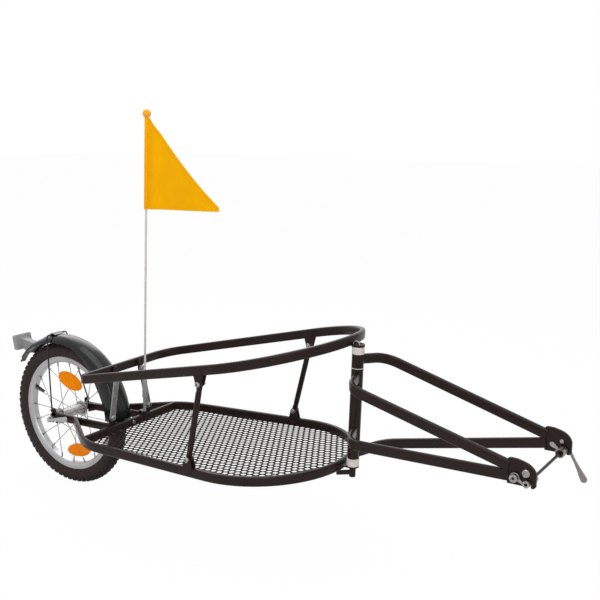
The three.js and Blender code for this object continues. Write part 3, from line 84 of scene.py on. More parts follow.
# %% [markdown]
# ## Camera
# The photograph was taken from the right side, a third of a turn towards the front and a little above. Eye
# point and lens were worked out from the wheel, the bed and the fork, whose sizes are known.

# %% Place the camera
camera_azimuth, camera_elevation = math.radians(33.26), math.radians(11.48)
camera_place = (0.5487, -1.7084, 0.6780)
bpy.ops.object.camera_add(location=camera_place, rotation=(math.pi / 2 - camera_elevation, 0, camera_azimuth))
camera = bpy.context.object
camera.data.sensor_width = 36
camera.data.lens = 56.69
camera.data.clip_end = 100
bpy.context.scene.camera = camera
bpy.context.scene.view_settings.view_transform = "Standard"
print("camera", [round(x, 3) for x in camera.location], "lens", camera.data.lens)

# %% [markdown]
# ## Colours and nodes
# A colour is written in sRGB, as on a paint chart, and one function turns it into Blender's linear light.
# Another adds a node with its settings and links, so a material reads as a short list of steps.

# %% Colour and node helpers
def linear(chart):
    channels = [int(chart[i : i + 2], 16) / 255 for i in (1, 3, 5)]
    return [c / 12.92 if c <= 0.04045 else ((c + 0.055) / 1.055) ** 2.4 for c in channels] + [1.0]


def node(tree, kind, inputs, **settings):
    new = tree.nodes.new(kind)
    for name, value in settings.items():
        setattr(new, name, value)
    for socket, value in inputs.items():
        if isinstance(value, bpy.types.NodeSocket):
            tree.links.new(value, new.inputs[socket])
        else:
            new.inputs[socket].default_value = value
    return new


def blank_tree(owner):
    owner.use_nodes = True
    owner.node_tree.nodes.clear()
    return owner.node_tree


print("black on the chart", [round(c, 4) for c in linear("#1A1614")[:3]])

# %% [markdown]
# ## Studio
# The surround is white, with soft light from all sides and a little more from above. A camera ray or
# reflection that misses the trailer sees plain white. The floor is pale and matt, and keeps the soft
# shadow.

# %% World and floor
world = bpy.data.worlds.new("white_surround")
bpy.context.scene.world = world
sky = blank_tree(world)
ray = node(sky, "ShaderNodeLightPath", {})
seen = ray.outputs["Is Camera Ray"]
for kind in ("Is Glossy Ray", "Is Transmission Ray"):
    seen = node(sky, "ShaderNodeMath", {0: seen, 1: ray.outputs[kind]}, operation="MAXIMUM").outputs[0]
soft = node(sky, "ShaderNodeBackground", {"Color": linear("#FFFFFF"), "Strength": 0.55})
white = node(sky, "ShaderNodeBackground", {"Color": linear("#FFFFFF"), "Strength": 1.0})
both = node(sky, "ShaderNodeMixShader", {0: seen, 1: soft.outputs[0], 2: white.outputs[0]})
node(sky, "ShaderNodeOutputWorld", {"Surface": both.outputs[0]})

floor_gap, middle_x = 0.0008, -0.6
floor_level = cad_box[0][2] - floor_gap
bpy.ops.mesh.primitive_plane_add(size=30, location=(middle_x, 0, floor_level))
studio_floor = bpy.context.object
studio_floor.name = "studio_floor"
pale = bpy.data.materials.new("pale_studio_paper")
tree = blank_tree(pale)
ray = node(tree, "ShaderNodeLightPath", {})
paper = node(tree, "ShaderNodeBsdfDiffuse", {"Color": linear("#F4F4F4")})
glow = node(tree, "ShaderNodeEmission", {"Color": linear("#FFFFFF"), "Strength": 1.0})
share = node(tree, "ShaderNodeMath", {0: ray.outputs["Is Camera Ray"], 1: 0.97}, operation="MULTIPLY")
mixed = node(tree, "ShaderNodeMixShader", {0: share.outputs[0], 1: paper.outputs[0], 2: glow.outputs[0]})
node(tree, "ShaderNodeOutputMaterial", {"Surface": mixed.outputs[0]})
studio_floor.data.materials.append(pale)
print("floor at", round(floor_level, 4))

# %% Soft boxes
def soft_box(name, place, aim, size, power):
    bpy.ops.object.light_add(type="AREA", location=place)
    lamp = bpy.context.object
    lamp.name = name
    lamp.data.shape = "SQUARE"
    lamp.data.size = size
    lamp.data.energy = power
    lamp.rotation_euler = (Vector(aim) - Vector(place)).to_track_quat("-Z", "Y").to_euler()
    return lamp


soft_box("overhead_box", (middle_x, -0.3, 2.6), aim=(middle_x, 0, 0), size=2.4, power=34)
soft_box("front_box", (0.9, -2.4, 1.5), aim=(middle_x, 0, 0), size=1.6, power=22)
soft_box("rear_box", (-2.4, 1.6, 1.6), aim=(-0.7, 0, 0), size=1.6, power=14)
print("three soft boxes")

# %% [markdown]
# ## Finishes
# Each finish starts from what the real one is and how its surface was made. Patterns read Object
# coordinates, which are metres here, so a noise scale is one over the size of a lump in metres.

# %% The start that every finish shares
finishes = {}


def new_finish(slot, title, roughness, metallic=0.0, specular=0.5, **sockets):
    material = bpy.data.materials.new(title)
    tree = blank_tree(material)
    sockets |= {"Roughness": roughness, "Metallic": metallic, "Specular IOR Level": specular}
    shader = node(tree, "ShaderNodeBsdfPrincipled", sockets)
    node(tree, "ShaderNodeOutputMaterial", {"Surface": shader.outputs[0]})
    place = node(tree, "ShaderNodeTexCoord", {}).outputs["Object"]
    finishes[slot] = material
    print("finish", title)
    return tree, shader, place


def two_tones(tree, shader, factor, dark, light):
    mix = node(tree, "ShaderNodeMix", {0: factor, 6: linear(dark), 7: linear(light)}, data_type="RGBA")
    tree.links.new(mix.outputs[2], shader.inputs["Base Color"])


def relief(tree, shader, height, depth_mm, strength):
    bump = node(tree, "ShaderNodeBump", {"Height": height, "Distance": depth_mm / 1000, "Strength": strength})
    tree.links.new(bump.outputs[0], shader.inputs["Normal"])


def cloudy(tree, place, size_mm, detail=3.0):
    settings = {"Vector": place, "Scale": 1000 / size_mm, "Detail": detail}
    return node(tree, "ShaderNodeTexNoise", settings).outputs[0]


# Tones are the width of the clouds in mm and their two colours. Grain is width and depth in mm, and strength.
def grained(slot, title, roughness, tones, grain, **settings):
    tree, shader, place = new_finish(slot, title, roughness, **settings)
    cloud_mm, dark, light = tones
    grain_mm, depth_mm, strength = grain
    two_tones(tree, shader, cloudy(tree, place, cloud_mm), dark, light)
    relief(tree, shader, cloudy(tree, place, grain_mm), depth_mm, strength)
    return tree, shader, place


def glancing(tree, shader, least, most, roughness):
    facing = node(tree, "ShaderNodeLayerWeight", {"Blend": 0.5}).outputs["Facing"]
    settings = {"Value": facing, "From Min": 0.5, "From Max": 0.85, "To Min": least, "To Max": most}
    coat = node(tree, "ShaderNodeMapRange", settings).outputs[0]
    tree.links.new(coat, shader.inputs["Coat Weight"])
    shader.inputs["Coat Roughness"].default_value = roughness


def uneven(tree, shader, value, low, high):
    settings = {"Value": value, "From Min": 0.3, "From Max": 0.7, "To Min": low, "To Max": high}
    tree.links.new(node(tree, "ShaderNodeMapRange", settings).outputs[0], shader.inputs["Roughness"])


print("finishes start empty:", len(finishes))

# %% [markdown]
# ### Powder coat on steel tube
# The frame is sprayed with black polyester powder and baked. The skin has a faint orange peel, a few
# millimetres across, so highlights along the tubes are soft and uneven. The black is warm, not blue.

# %% Powder coat
tree, shader, place = new_finish("black_paint", "black_powder_coat", 0.3, specular=0.13)
two_tones(tree, shader, cloudy(tree, place, 90), "#1F1512", "#291C18")
glancing(tree, shader, 0.06, 0.4, 0.16)
relief(tree, shader, cloudy(tree, place, 3.2, 1.0), 0.12, 0.35)
uneven(tree, shader, cloudy(tree, place, 40), 0.28, 0.42)

# %% [markdown]
# ### Bright zinc plate
# Bolts, brackets and the axle are zinc plated steel. The plate is thin and slightly cloudy, with a grey
# sheen.

# %% Zinc plate
zinc_tones, zinc_grain = (9, "#888786", "#B2B1B0"), (1.4, 0.05, 0.25)
tree, shader, place = grained("zinc_steel", "bright_zinc_plate", 0.32, zinc_tones, zinc_grain, metallic=1.0)
uneven(tree, shader, cloudy(tree, place, 4), 0.24, 0.42)

# %% [markdown]
# ### Polished aluminium
# The rim is extruded and brushed as it turns, so fine lines run round it, and the eye sees a pale metal
# with soft bands.

# %% Polished aluminium
tree, shader, place = new_finish("polished_alloy", "brushed_aluminium", 0.28, metallic=1.0)
two_tones(tree, shader, cloudy(tree, place, 30), "#9FA0A2", "#BFBEBF")
lines = node(tree, "ShaderNodeTexNoise", {"Vector": place, "Scale": 900, "Detail": 2.0}).outputs[0]
uneven(tree, shader, lines, 0.22, 0.38)
relief(tree, shader, lines, 0.03, 0.3)

# %% [markdown]
# ### Tyre and tube rubber
# Tyres are moulded in hot steel. The sidewall has a dull skin with a dusty bloom, the valve a shinier one.

# %% Rubber
tyre_tones, tyre_grain = (25, "#241B19", "#322725"), (1.2, 0.15, 0.4)
grained("tyre_rubber", "moulded_tyre_rubber", 0.72, tyre_tones, tyre_grain, specular=0.25)
grained("tube_rubber", "smooth_valve_rubber", 0.55, (6, "#1C1A1A", "#262323"), (0.8, 0.05, 0.3))

# %% [markdown]
# ### Moulded plastics
# The mudguard is black polypropylene from a polished mould, with long clear highlights. The reflector's
# housing is satin grey ABS. The bushes are cream nylon, a little waxy, so light goes a short way in.

# %% Plastics
guard_tones, guard_grain = (60, "#0C0D0E", "#151617"), (1.6, 0.04, 0.25)
guard_settings = ("black_plastic", "black_polypropylene", 0.26, guard_tones, guard_grain)
tree, shader, place = grained(*guard_settings, specular=0.2)
glancing(tree, shader, 0.28, 0.8, 0.12)
grained("grey_plastic", "grey_abs", 0.45, (18, "#8B8B8C", "#9A9A9A"), (1.0, 0.05, 0.3))
waxy = {"Subsurface Weight": 0.15, "Subsurface Scale": 0.003}
tree, shader, place = new_finish("cream_plastic", "turned_nylon", 0.42, **waxy)
two_tones(tree, shader, cloudy(tree, place, 8), "#CFC6BC", "#E2DBD2")
turning = {"Vector": place, "Scale": 300.0, "Distortion": 0.6}
rings = node(tree, "ShaderNodeTexWave", turning, bands_direction="Z").outputs[1]
relief(tree, shader, rings, 0.04, 0.2)

# %% [markdown]
# ### Reflector acrylic
# Reflectors are acrylic dyed in the mass, with a grid of tiny corner cubes in the back. Their uneven sparkle
# is partly real, from the relief on each cell, and partly painted: each cell gets a lighter or darker orange
# that stands for the light it sends back. A real cube is 2 mm wide, which a small picture can't hold, so the
# cells here are 4 mm.

# %% Reflectors
def reflector_finish(slot, title, dark, light, cube_mm):
    tree, shader, place = new_finish(slot, title, 0.2, specular=0.06)
    cubes = node(tree, "ShaderNodeTexVoronoi", {"Vector": place, "Scale": 1000 / cube_mm, "Randomness": 0.35})
    grey = node(tree, "ShaderNodeSeparateColor", {"Color": cubes.outputs["Color"]}).outputs[0]
    # painted sparkle: each cell's random lighter or darker orange stands for the light its corner cube sends
    # back
    two_tones(tree, shader, grey, dark, light)
    relief(tree, shader, cubes.outputs["Distance"], 0.3, 0.3)


reflector_finish("orange_lens", "amber_acrylic", "#FF7C00", "#FF9C00", 4.0)
reflector_finish("red_lens", "red_acrylic", "#7E0D0B", "#B51712", 4.0)

# %% [markdown]
# ### Flag, ball and pole
# The pennant is coated nylon with about 5 threads to the millimetre, too fine to show, so its weave is
# drawn with a 1.5 mm repeat. The ball is orange vinyl, and the pole is a glass fibre rod with long faint
# streaks.

# %% Cloth, vinyl and glass fibre
tree, shader, place = new_finish("flag_cloth", "coated_nylon_cloth", 0.55, specular=0.05)
two_tones(tree, shader, cloudy(tree, place, 45), "#F6A900", "#FFBC00")
threads = {"Vector": place, "Scale": 210.0}
warp, weft = (node(tree, "ShaderNodeTexWave", threads, bands_direction=way).outputs[1] for way in "XZ")
weave = node(tree, "ShaderNodeMath", {0: warp, 1: weft}, operation="MAXIMUM")
relief(tree, shader, weave.outputs[0], 0.12, 0.35)
grained("orange_plastic", "orange_vinyl", 0.35, (10, "#FFA010", "#FFB01C"), (1.5, 0.05, 0.25), specular=0.3)
tree, shader, place = new_finish("pole_fibre", "glass_fibre_rod", 0.38)
long_place = node(tree, "ShaderNodeMapping", {"Vector": place, "Scale": (1.0, 1.0, 0.03)}).outputs[0]
two_tones(tree, shader, cloudy(tree, long_place, 0.8), "#BDBBB5", "#DEDCD7")
relief(tree, shader, cloudy(tree, long_place, 0.6), 0.04, 0.3)
print(len(finishes), "finishes")

# %% [markdown]
# ## Working by hand
# Every new piece starts as a primitive, is shaped in edit mode and ends as one mesh with its place in its
# points. Sizes are in millimetres from the wheel axle, with X to the front. One function turns them into
# metres in the trailer's frame, which starts at the hitch axle.

# %% Places and modes
wheel_base, hub_drop = 1313, 129
same_point = 2e-6
sides = ((-1, "right"), (1, "left"))
Y = (0, 1, 0)


def at(x, y=0.0, z=0.0):
    return Vector((x - wheel_base, y, z - hub_drop)) / 1000


def let_go():
    if bpy.context.mode != "OBJECT":
        bpy.ops.object.mode_set(mode="OBJECT")
    bpy.ops.object.select_all(action="DESELECT")


def take(*pieces):
    let_go()
    for piece in pieces:
        piece.select_set(True)
    bpy.context.view_layer.objects.active = pieces[0]


def edit(piece, mode="VERT"):
    take(piece)
    bpy.ops.object.mode_set(mode="EDIT")
    bpy.ops.mesh.select_mode(type=mode)
    bpy.ops.mesh.select_all(action="SELECT")


def pick_faces(piece, wanted):
    edit(piece, "FACE")
    bpy.ops.mesh.select_all(action="DESELECT")
    bpy.ops.object.mode_set(mode="OBJECT")
    for face in piece.data.polygons:
        face.select = wanted(face)
    bpy.ops.object.mode_set(mode="EDIT")


def tidy_skin():
    bpy.ops.mesh.select_all(action="SELECT")
    bpy.ops.mesh.remove_doubles(threshold=same_point)
    bpy.ops.mesh.normals_make_consistent(inside=False)


print("wheel axle at", list(at(0)))

# %% Pieces as a whole
def freeze(piece):
    take(piece)
    bpy.ops.object.transform_apply(location=True, rotation=True, scale=True)
    return piece


def settle(piece, name=None, smooth_deg=32):
    freeze(piece)
    bpy.ops.object.shade_smooth_by_angle(angle=math.radians(smooth_deg))
    if name:
        piece.name = name
    return piece


def applied(piece, kind, **settings):
    take(piece)
    modifier = piece.modifiers.new(kind, kind)
    for name, value in settings.items():
        setattr(modifier, name, value)
    bpy.ops.object.modifier_apply(modifier=modifier.name)
    return piece


def join(*pieces):
    take(*pieces)
    if len(pieces) > 1:
        bpy.ops.object.join()
    return pieces[0]


def copies_of(piece, places):
    copies = []
    for place in places:
        take(piece)
        bpy.ops.object.duplicate(linked=False)
        copies.append(bpy.context.object)
        copies[-1].matrix_world = place
    bpy.data.objects.remove(piece)
    return copies


def dress(piece, node_name, slot, finish=None):
    piece.data.materials.clear()
    piece.data.materials.append(finish or finishes[slot])
    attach(piece, body_of[node_name])


def fit(piece, *nodes, finish=None):
    dress(piece, nodes[0], slot_of[nodes[0]], finish)
    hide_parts(*nodes)
    print(piece.name, "stands for", ", ".join(nodes), "with", len(piece.data.polygons), "faces")
    return piece


print("a piece is settled, then fitted to its node")

# %% [markdown]
# ## Drawing, turning, cutting
# An outline is drawn by pulling one point from corner to corner. Spun round an axis it is a turned piece,
# and filled and pulled straight it is a piece cut from plate. A small bevel breaks every hard edge.

# %% Outline, turned piece and plate
def draw(name, points, closed=False):
    let_go()
    bpy.ops.mesh.primitive_plane_add(size=0.001, location=points[0])
    piece = bpy.context.object
    piece.name = name
    edit(piece)
    bpy.ops.mesh.merge(type="CENTER")
    corners = list(points) + ([points[0]] if closed else [])
    for here, there in zip(corners, corners[1:]):
        bpy.ops.mesh.extrude_vertices_move(TRANSFORM_OT_translate={"value": there - here})
    bpy.ops.mesh.select_all(action="SELECT")
    bpy.ops.mesh.remove_doubles(threshold=same_point)
    return piece


def turned(name, profile, centre, axis, steps=40):
    axis = Vector(axis).normalized()
    side = axis.orthogonal().normalized()
    hollow_ring = profile[0][0] > 0 and profile[-1][0] > 0
    piece = draw(name, [centre + (axis * h + side * r) / 1000 for r, h in profile], closed=hollow_ring)
    bpy.ops.mesh.spin(steps=steps, angle=2 * math.pi, center=centre, axis=axis)
    tidy_skin()
    return settle(piece)


def round_edges(piece, width_mm, segments=2):
    return applied(piece, "BEVEL", width=width_mm / 1000, segments=segments, limit_method="ANGLE",
                   angle_limit=math.radians(35))


def plate(name, outline, depth, edge_mm):
    piece = draw(name, outline, closed=True)
    bpy.ops.mesh.edge_face_add()
    bpy.ops.mesh.extrude_region_move(TRANSFORM_OT_translate={"value": depth})
    tidy_skin()
    return settle(round_edges(settle(piece), edge_mm))


def side_plate(name, outline, y, thick, edge_mm=0.6):
    return plate(name, [at(u, y, w) for u, w in outline], Vector((0, thick / 1000, 0)), edge_mm)


print("draw, turned, plate")

# %% Outlines that are used more than once
def arc_points(centre, radius, start, end, steps):
    turns = [math.radians(start + (end - start) * k / steps) for k in range(steps + 1)]
    return [(centre[0] + radius * math.cos(t), centre[1] + radius * math.sin(t)) for t in turns]


def link_outline(a, radius_a, b, radius_b, steps=10):
    heading = math.degrees(math.atan2(b[1] - a[1], b[0] - a[0]))
    touch = math.degrees(math.acos((radius_a - radius_b) / math.dist(a, b)))
    near = arc_points(a, radius_a, heading + touch, heading + 360 - touch, steps)
    return near + arc_points(b, radius_b, heading - touch, heading + touch, steps)


def mirrored(profile):
    return profile + [(r, -h) for r, h in profile[::-1]]


def rounded_route(corners):
    line = [corners[0][0]]
    for i in range(1, len(corners) - 1):
        corner, radius = corners[i]
        back = (corners[i - 1][0] - corner).normalized()
        ahead = (corners[i + 1][0] - corner).normalized()
        half = back.angle(ahead) / 2
        centre = corner + (back + ahead).normalized() * (radius / 1000 / math.sin(half))
        out = corner + back * (radius / 1000 / math.tan(half)) - centre
        turn = math.pi - 2 * half
        steps = max(4, round(math.degrees(turn) / 4))
        for k in range(steps + 1):
            swing = turn * k / steps
            line.append(centre + out * math.cos(swing) - back * (radius / 1000) * math.sin(swing))
    return line + [corners[-1][0]]


print(len(link_outline((0, 0), 5, (20, 0), 3)), "points round a link")

# %% [markdown]
# ## Bent tube
# The frame is drawn steel tube, 22 by 12 mm with rounded corners, bent on a mandrel. A curve with a bevel
# profile is the natural way: the route is its middle line, the profile its section, and the run becomes a
# capped mesh.

# %% Tube section and tube run
def tube_section(name, width, height, corner):
    let_go()
    bpy.ops.mesh.primitive_plane_add(size=1)
    section = bpy.context.object
    section.name = name
    bpy.ops.transform.resize(value=(width / 1000, height / 1000, 1))
    bpy.ops.object.transform_apply(location=False, rotation=False, scale=True)
    edit(section)
    bpy.ops.mesh.bevel(offset=corner / 1000, segments=4, affect="VERTICES")
    bpy.ops.mesh.delete(type="ONLY_FACE")
    take(section)
    bpy.ops.object.convert(target="CURVE")
    section.hide_render = True
    return section


def tube_run(name, route, section=None, radius=0, closed=False):
    let_go()
    bpy.ops.curve.primitive_nurbs_path_add()
    run = bpy.context.object
    run.name = name
    path = run.data
    path.splines.clear()
    spline = path.splines.new("POLY")
    spline.points.add(len(route) - 1)
    for point, place in zip(spline.points, route):
        point.co = (*place, 1)
    spline.use_cyclic_u = closed
    path.twist_mode = "Z_UP"
    path.use_fill_caps = True
    if section:
        path.bevel_mode = "OBJECT"
        path.bevel_object = section
    else:
        path.bevel_depth = radius / 1000
        path.bevel_resolution = 5
    take(run)
    bpy.ops.object.convert(target="MESH")
    edit(run)
    tidy_skin()
    return settle(run, smooth_deg=40)


tube_width, tube_height = 12, 22
half_tube = tube_height / 2
frame_section = tube_section("frame_section", tube_width, tube_height, 4)
stay_section = tube_section("stay_section", 10, 20, 3.5)
bed_rear, bed_rise = 4.4, math.tan(math.radians(1.95))


def bed_z(x):
    return bed_rear + x * bed_rise


print("section drawn, bed rises", round(900 * bed_rise, 1), "mm in 900")

# %% [markdown]
# ## Lower hoop
# One tube makes the whole bed frame: it leaves the stays in diagonals, turns forward, flares a little and
# closes in a round nose under the steering head.

# %% Route of the lower hoop
crossbar_x, diagonal_end, stay_gauge = 221.0, 77.4, 59
rail_corner_x, rail_corner_bend = 241.6, 154
nose_radius, nose_centre, flare_deg = 208.0, 642.0, 3.2
flare = math.radians(flare_deg)
touch = (nose_centre - nose_radius * math.sin(flare), nose_radius * math.cos(flare))
corner_y = touch[1] - (touch[0] - rail_corner_x) * math.tan(flare)


def half_rail(side):
    plan = [((diagonal_end, stay_gauge), 0), ((rail_corner_x, corner_y), rail_corner_bend), (touch, 0)]
    return rounded_route([(at(x, side * y, bed_z(x)), radius) for (x, y), radius in plan])


nose = arc_points((nose_centre, 0), nose_radius, 90 + flare_deg, -90 - flare_deg, 48)[1:-1]
rail_route = half_rail(1) + [at(x, y, bed_z(x)) for x, y in nose] + half_rail(-1)[::-1]
lower_tube = tube_run("lower_tube", rail_route, frame_section)
print("lower hoop's route has", len(rail_route), "points")

# %% [markdown]
# The diagonal is cut back to the side of the stay that it is welded to. Bisect does this cut, on the faces
# near that end alone.

# %% Cut the diagonals at the stays
diagonal_zone, stay_face = at(150).x, 60
for side in (1, -1):
    pick_faces(lower_tube, lambda face: face.center.x < diagonal_zone and face.center.y * side > 0)
    cut_at, cut_normal = at(0, side * stay_face), (0, -side, 0)
    bpy.ops.mesh.bisect(plane_co=cut_at, plane_no=cut_normal, use_fill=True, clear_outer=True)
    tidy_skin()
    settle(lower_tube, smooth_deg=40)
print("lower hoop has", len(lower_tube.data.polygons), "faces")

# %% [markdown]
# ## Ears for the struts
# Each strut is bolted between two small plates that are welded to the tube. A plate is the outline round
# two circles, 4 mm thick, with its edges broken.

# %% Ears
ear_root, ear_tip, ear_sink = 13, 7.3, 8
ear_outside, ear_thick = 7.8, 4
foot_rise, head_drop = 30.2, 29.3
foot_x, head_x = {-1: 585, 1: 590}, {-1: 613, 1: 641}


def half_width(route, x):
    for a, b in zip(route, route[1:]):
        if a.y >= 0 and b.y >= 0 and min(a.x, b.x) <= at(x).x <= max(a.x, b.x) and a.x != b.x:
            return 1000 * (a.y + (b.y - a.y) * (at(x).x - a.x) / (b.x - a.x))
    return 0.0


def ears(name, place, tube_z, rise):
    x, y, z = place
    outline = link_outline((x, tube_z + rise * ear_sink), ear_root, (x, z), ear_tip)
    return [side_plate(name, outline, y + near, ear_thick) for near in (-ear_outside, ear_outside - ear_thick)]


feet = {s: (foot_x[s], s * half_width(rail_route, foot_x[s]), bed_z(foot_x[s]) + foot_rise) for s in (-1, 1)}
ear_plates = [e for s in (-1, 1) for e in ears("foot_ear", feet[s], bed_z(foot_x[s]), 1)]
fit(join(lower_tube, *ear_plates), "lower_hoop")

# %% [markdown]
# ## Cargo hoop
# The upper hoop is a closed ring of the same tube: a cross piece behind, sides that flare, wide shoulders
# and a round nose that climbs over the steering head. The whole ring lies in one rising plane.

# %% Route of the cargo hoop
hoop_rear, hoop_rear_z, hoop_tip, tip_bend = 205.5, 162.2, 938.8, 177
hoop_shoulder, shoulder_half_width, shoulder_bend = 746.7, 207.5, 213
far_y, far_bend, near_y, near_bend = 159, 56, -158, 28
climb_length, climb = 175, 1.7
rise = math.tan(math.radians(13.12))
hoop_plan = [((hoop_rear, 0), 0), ((hoop_rear, far_y), far_bend),
             ((hoop_shoulder, shoulder_half_width), shoulder_bend), ((hoop_tip, 0), tip_bend),
             ((hoop_shoulder, -shoulder_half_width), shoulder_bend), ((hoop_rear, near_y), near_bend),
             ((hoop_rear, 0), 0)]
flat_hoop = rounded_route([(Vector((x, y, 0)) / 1000, radius) for (x, y), radius in hoop_plan])[:-1]
hoop_nose = max(p.x for p in flat_hoop) * 1000


def hoop_z(x):
    past = max(0, (x - hoop_nose) / climb_length + 1)
    return hoop_rear_z + (x - hoop_rear) * rise + climb * past**2


hoop_route = [at(1000 * p.x, 1000 * p.y, hoop_z(1000 * p.x)) for p in flat_hoop]
cargo_tube = tube_run("cargo_tube", hoop_route, frame_section, closed=True)
heads = {s: (head_x[s], s * half_width(hoop_route, head_x[s]), hoop_z(head_x[s]) - head_drop) for s in (-1, 1)}
ear_plates = [e for s in (-1, 1) for e in ears("head_ear", heads[s], hoop_z(head_x[s]), -1)]
print("cargo hoop nose at", round(hoop_nose, 1), "height", round(hoop_z(hoop_nose), 1))

# %% [markdown]
# The straps behind are bolted to small tabs, cut from 3 mm plate and welded to the hoop and to the
# crossbar.

# %% Tabs and the finished cargo hoop
gap, strap_thick, tab_thick, tab_radius = 0.3, 3, 3, 9
bracket_front = 221.5
tab_rear = bracket_front - strap_thick - gap - tab_thick
upper_bolt, lower_bolt = (44.5, 147), (66, 43)


def tab(name, side, bolt_place, root_z):
    y, z = side * bolt_place[0], bolt_place[1]
    outline = link_outline((y, z), tab_radius, (y, root_z), tab_radius)
    return plate(name, [at(tab_rear, u, w) for u, w in outline], Vector((tab_thick / 1000, 0, 0)), 0.5)


upper_tabs = [tab("upper_tab", side, upper_bolt, hoop_rear_z) for side in (-1, 1)]
fit(join(cargo_tube, *ear_plates, *upper_tabs), "cargo_hoop")

crossbar_reach = half_width(rail_route, crossbar_x)
crossbar_ends = [at(crossbar_x, y, bed_z(crossbar_x)) for y in (-crossbar_reach, 0, crossbar_reach)]
bar = tube_run("rear_crossbar", crossbar_ends, frame_section)
lower_tabs = [tab("lower_tab", side, lower_bolt, bed_z(crossbar_x) - 2) for side in (-1, 1)]
fit(join(bar, *lower_tabs), "crossbar")

# %% [markdown]
# ## Perforated floor
# The floor is thin steel sheet with round holes of 12.4 mm, 16 mm apart in staggered rows. One cell is
# made by bridging a circle to a square, two array modifiers repeat it, and the sheet is cut along the
# hoop.

# %% Matt black sheet
grained("sheet", "matt_black_sheet", 0.6, (90, "#1C1310", "#261A16"), (3.2, 0.06, 0.3), specular=0.1)

# %% One cell of the floor
pitch, hole = 16.0, 12.4
row_gap = pitch * math.sin(math.radians(60))


def circle(diameter, place):
    bpy.ops.mesh.primitive_circle_add(vertices=12, radius=diameter / 2000, location=place)
    return bpy.context.object


def floor_cell(place):
    let_go()
    ring, rim = circle(hole, place), circle(pitch, place)
    for point in rim.data.vertices:
        stretch = 1 / max(abs(point.co.x) / (pitch / 2000), abs(point.co.y) / (row_gap / 2000))
        point.co = point.co * stretch
    edit(join(ring, rim))
    bpy.ops.mesh.bridge_edge_loops()
    return settle(ring)


def rows_of(cell):
    for count, step in ((columns, (pitch / 1000, 0, 0)), (rows, (0, 2 * row_gap / 1000, 0))):
        applied(cell, "ARRAY", count=count, use_relative_offset=False, use_constant_offset=True,
                constant_offset_displace=step, use_merge_vertices=True, merge_threshold=1e-5)
    return cell


first_x, columns, rows = 208.3, 42, 16
even = rows_of(floor_cell(at(first_x - pitch / 2, (0.5 - rows) * row_gap)))
odd = rows_of(floor_cell(at(first_x, (1.5 - rows) * row_gap)))
sheet = join(even, odd)
sheet.name = "perforated_floor"
edit(sheet)
tidy_skin()
print("uncut sheet has", len(sheet.data.polygons), "faces, rows", round(row_gap, 2), "mm apart")

# %% Cut the sheet to the hoop and set it on the bed's slope
def bisect_all(piece, plane_at, normal):
    edit(piece)
    bpy.ops.mesh.bisect(plane_co=plane_at, plane_no=normal, clear_outer=True)
    let_go()


sheet_drop, sheet_thick = 8, 1
outline = [Vector((p.x, p.y, at(0).z)) for p in rail_route]
for here, there in zip(outline, outline[1:]):
    along = there - here
    bisect_all(sheet, here, (-along.y, along.x, 0))
bisect_all(sheet, at(crossbar_x), (-1, 0, 0))
for point in sheet.data.vertices:
    x = 1000 * point.co.x + wheel_base
    point.co.z = at(0, 0, bed_z(x) - sheet_drop + sheet_thick).z
settle(applied(sheet, "SOLIDIFY", thickness=sheet_thick / 1000, offset=-1))
fit(sheet, "floor_sheet", finish=finishes["sheet"])

# %% [markdown]
# ## Copies of plain pieces
# Small forged and cut pieces, such as lugs and straps, have their shape in the plain model already. A copy
# is merged, flat faces are dissolved, and a bevel breaks the edges, which catches the light on real metal.

# %% Merge and soften a copy
def softened(node_name, edge_mm, segments=2, finish=None):
    copy = bpy.data.objects.new(node_name + "_finished", frame["nodes"][node_name].data.copy())
    bpy.context.scene.collection.objects.link(copy)
    take(copy)
    bpy.ops.mesh.customdata_custom_splitnormals_clear()
    edit(copy)
    bpy.ops.mesh.remove_doubles(threshold=same_point)
    bpy.ops.mesh.dissolve_limited(angle_limit=math.radians(1))
    round_edges(settle(copy), edge_mm, segments)
    return fit(settle(copy), node_name, finish=finish)


for _, word in sides:
    softened("hoop_bracket_" + word, 0.6)

# %% [markdown]
# ## Stays and dropouts
# Two short tubes run from the crossbar back to the axle. Each ends in a slotted plate, the dropout, with
# an eye above it for the mudguard's wire.

# %% Stays
blade_thick, slot_half, slot_end = 6, 5.4, -14
stay_rear, stay_front, eyelet = 12, crossbar_x - 6.3, (-2, 21)
blade = link_outline((0, 0), 15, (29, bed_z(0)), 10, 16)
lowest = min(range(len(blade)), key=lambda i: (blade[i][1], blade[i][0]))
ring = blade[lowest:] + blade[:lowest]
start = next(i for i, p in enumerate(ring) if p[0] >= slot_half and p[1] < 0)
around_slot = [p for p in ring[start:] + ring[:start] if abs(p[0]) >= slot_half or p[1] >= 0]
slot_top = [(-slot_half, 0)] + arc_points((0, 0), slot_half, 180, 0, 8)[1:-1] + [(slot_half, 0)]
blade_shape = around_slot + [(-slot_half, slot_end)] + slot_top + [(slot_half, slot_end)]
eye_shape = link_outline((0, 8), 7.5, eyelet, 5.5, 14)
for side, word in sides:
    name = "chainstay_" + word
    ends = [at(x, side * stay_gauge, bed_z(x)) for x in (stay_rear, stay_front)]
    tube = tube_run(name + "_tube", [ends[0], ends[0].lerp(ends[1], 0.5), ends[1]], stay_section)
    low = side * stay_gauge - blade_thick / 2
    plates = [side_plate(name + "_plate", shape, low, blade_thick) for shape in (blade_shape, eye_shape)]
    fit(join(tube, *plates), name)

# %% [markdown]
# ## Struts
# A strut is a round tube of 13 mm whose ends were pressed flat: a turned piece joined to a flat tongue.

